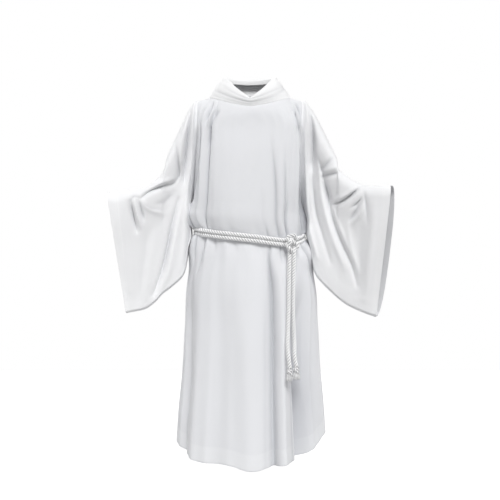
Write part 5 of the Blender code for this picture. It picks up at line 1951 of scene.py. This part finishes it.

# %% [markdown]
# ## Who stands for what
# Each piece hides the packed solids that it stands for, and rides on the root body. The front, the back and
# the collar are one sheet each, as they are cut, and stand for two solids.

# %% Solids and bodies
STANDS_FOR = {
    front_cloth: ("front_bodice", "front_skirt"),
    back_cloth: ("back_bodice", "back_skirt"),
    sleeves["right"]: ("sleeve_right",),
    sleeves["left"]: ("sleeve_left",),
    collar_cloth: ("cowl_collar_right", "cowl_collar_left"),
    waist_ropes[0]: ("cincture_waist_upper",),
    waist_ropes[1]: ("cincture_waist_lower",),
    knot: ("cincture_knot",),
    tails[0][0]: ("cincture_tail_inner",),
    tails[1][0]: ("cincture_tail_outer",),
    tassels[0]: ("cincture_tassel_inner",),
    tassels[1]: ("cincture_tassel_outer",),
}
for piece, nodes in STANDS_FOR.items():
    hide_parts(*nodes)
for piece in cloths + ropes + list(stitching.values()):
    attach(piece, "root")
    "white_rope" if piece in ropes else "white_cloth"
print(sum(len(nodes) for nodes in STANDS_FOR.values()), "solids have", len(STANDS_FOR), "pieces for them")

# %% [markdown]
# ## Soft pieces
# The free ends of the rope and the sheets of cloth are soft pieces; here they are only counted.

# %% Cords and sheets
print(len(tails), "cords and", len(cloths), "sheets")

# %% [markdown]
# ## Floor and surround
# White cloth in front of white needs care: if all the light that is seen also fell on the cloth, every fold
# would fade. So the floor and the surround are bright where the camera looks at them, and dim where they
# light the cloth. A light path node tells the two apart. Two renders laid over each other would do it too,
# but one is simpler to keep in step.

# %% Floor
FLOOR_HEIGHT = -1.515
FLOOR_REACH = 3.0
FLOOR_GREY = 0.25
FLOOR_SEEN = 0.93
FLOOR_LIT = 0.26


def grey(value):
    """An opaque grey."""
    return (value, value, value, 1.0)


floor_mesh = bpy.data.meshes.new("floor")
signs = ((-1, -1), (1, -1), (1, 1), (-1, 1))
corners = [(x * FLOOR_REACH, y * FLOOR_REACH, FLOOR_HEIGHT) for x, y in signs]
floor_mesh.from_pydata(corners, [], [(0, 1, 2, 3)])
floor = placed("floor", floor_mesh)
floor_shader = Shader("floor_pale", Base_Color=grey(FLOOR_GREY), Roughness=0.9, Emission_Strength=1.0)
glow = floor_shader.color(camera_ray(floor_shader.tree), grey(FLOOR_LIT), grey(FLOOR_SEEN))
feed(floor_shader.tree, floor_shader.surface.inputs["Emission Color"], glow)
floor_mesh.materials.append(floor_shader.material)
print("floor at", FLOOR_HEIGHT, "m")

# %% Surround
SEEN_WORLD = 1.0
LIT_WORLD = 0.27

world = bpy.data.worlds.new("white_surround")
bpy.context.scene.world = world
world.use_nodes = True
surround = world.node_tree.nodes["Background"]
surround.inputs["Color"].default_value = grey(1.0)
seen = camera_ray(world.node_tree)
feed(world.node_tree, surround.inputs["Strength"], seen * (SEEN_WORLD - LIT_WORLD) + LIT_WORLD)
print("surround:", SEEN_WORLD, "seen and", LIT_WORLD, "as light")

# %% [markdown]
# ## Lights
# The main light comes from in front, high up. Two weaker ones come from the sides and graze the sleeves, and
# one from behind serves the views of the back. Lamps near the cloth would light its top more than its hem,
# so these four are suns, whose light falls evenly. Their wide angles make soft shadows, like large windows.
# A weak round lamp at the wearer's right front lifts the shade a little.

# %% Suns
Sun = namedtuple("Sun", "name come_from spread power")
SUNS = (
    Sun("sun", (0.25, -1.15, 1.18), math.radians(28), 2.38),
    Sun("right_sun", (-1.3, 0.05, 0.15), math.radians(50), 0.50),
    Sun("left_sun", (1.3, 0.05, 0.15), math.radians(50), 0.40),
    Sun("back_sun", (-0.5, 1.3, 0.8), math.radians(60), 1.5),
)


def aim(lamp, way):
    """Turns a lamp, which shines along its own -Z, to shine along way."""
    way = unit(np.asarray(way, float))
    lamp.rotation_euler = (math.acos(-way[2]), 0.0, math.atan2(-way[0], way[1]))


for name, come_from, spread, power in SUNS:
    sun = bpy.data.lights.new(name, "SUN")
    sun.energy = power
    sun.angle = spread
    lamp = placed(name, sun)
    lamp.location = come_from
    aim(lamp, np.negative(come_from))
print(len(SUNS), "suns")

# %% Fill lamp
FILL_PLACE = (-3.0, -3.4, 0.6)
FILL_TARGET = (0.0, 0.0, -0.6)
FILL_SIZE = 2.4
FILL_POWER = 4.0

fill = bpy.data.lights.new("fill", "AREA")
fill.shape = "DISK"
fill.size = FILL_SIZE
fill.energy = FILL_POWER
lamp = placed("fill", fill)
lamp.location = FILL_PLACE
aim(lamp, np.subtract(FILL_TARGET, FILL_PLACE))

bpy.context.scene.view_settings.view_transform = "Standard"
print("fill lamp of", FILL_POWER, "W, seen with the plain view transform")

# %% [markdown]
# ## The end
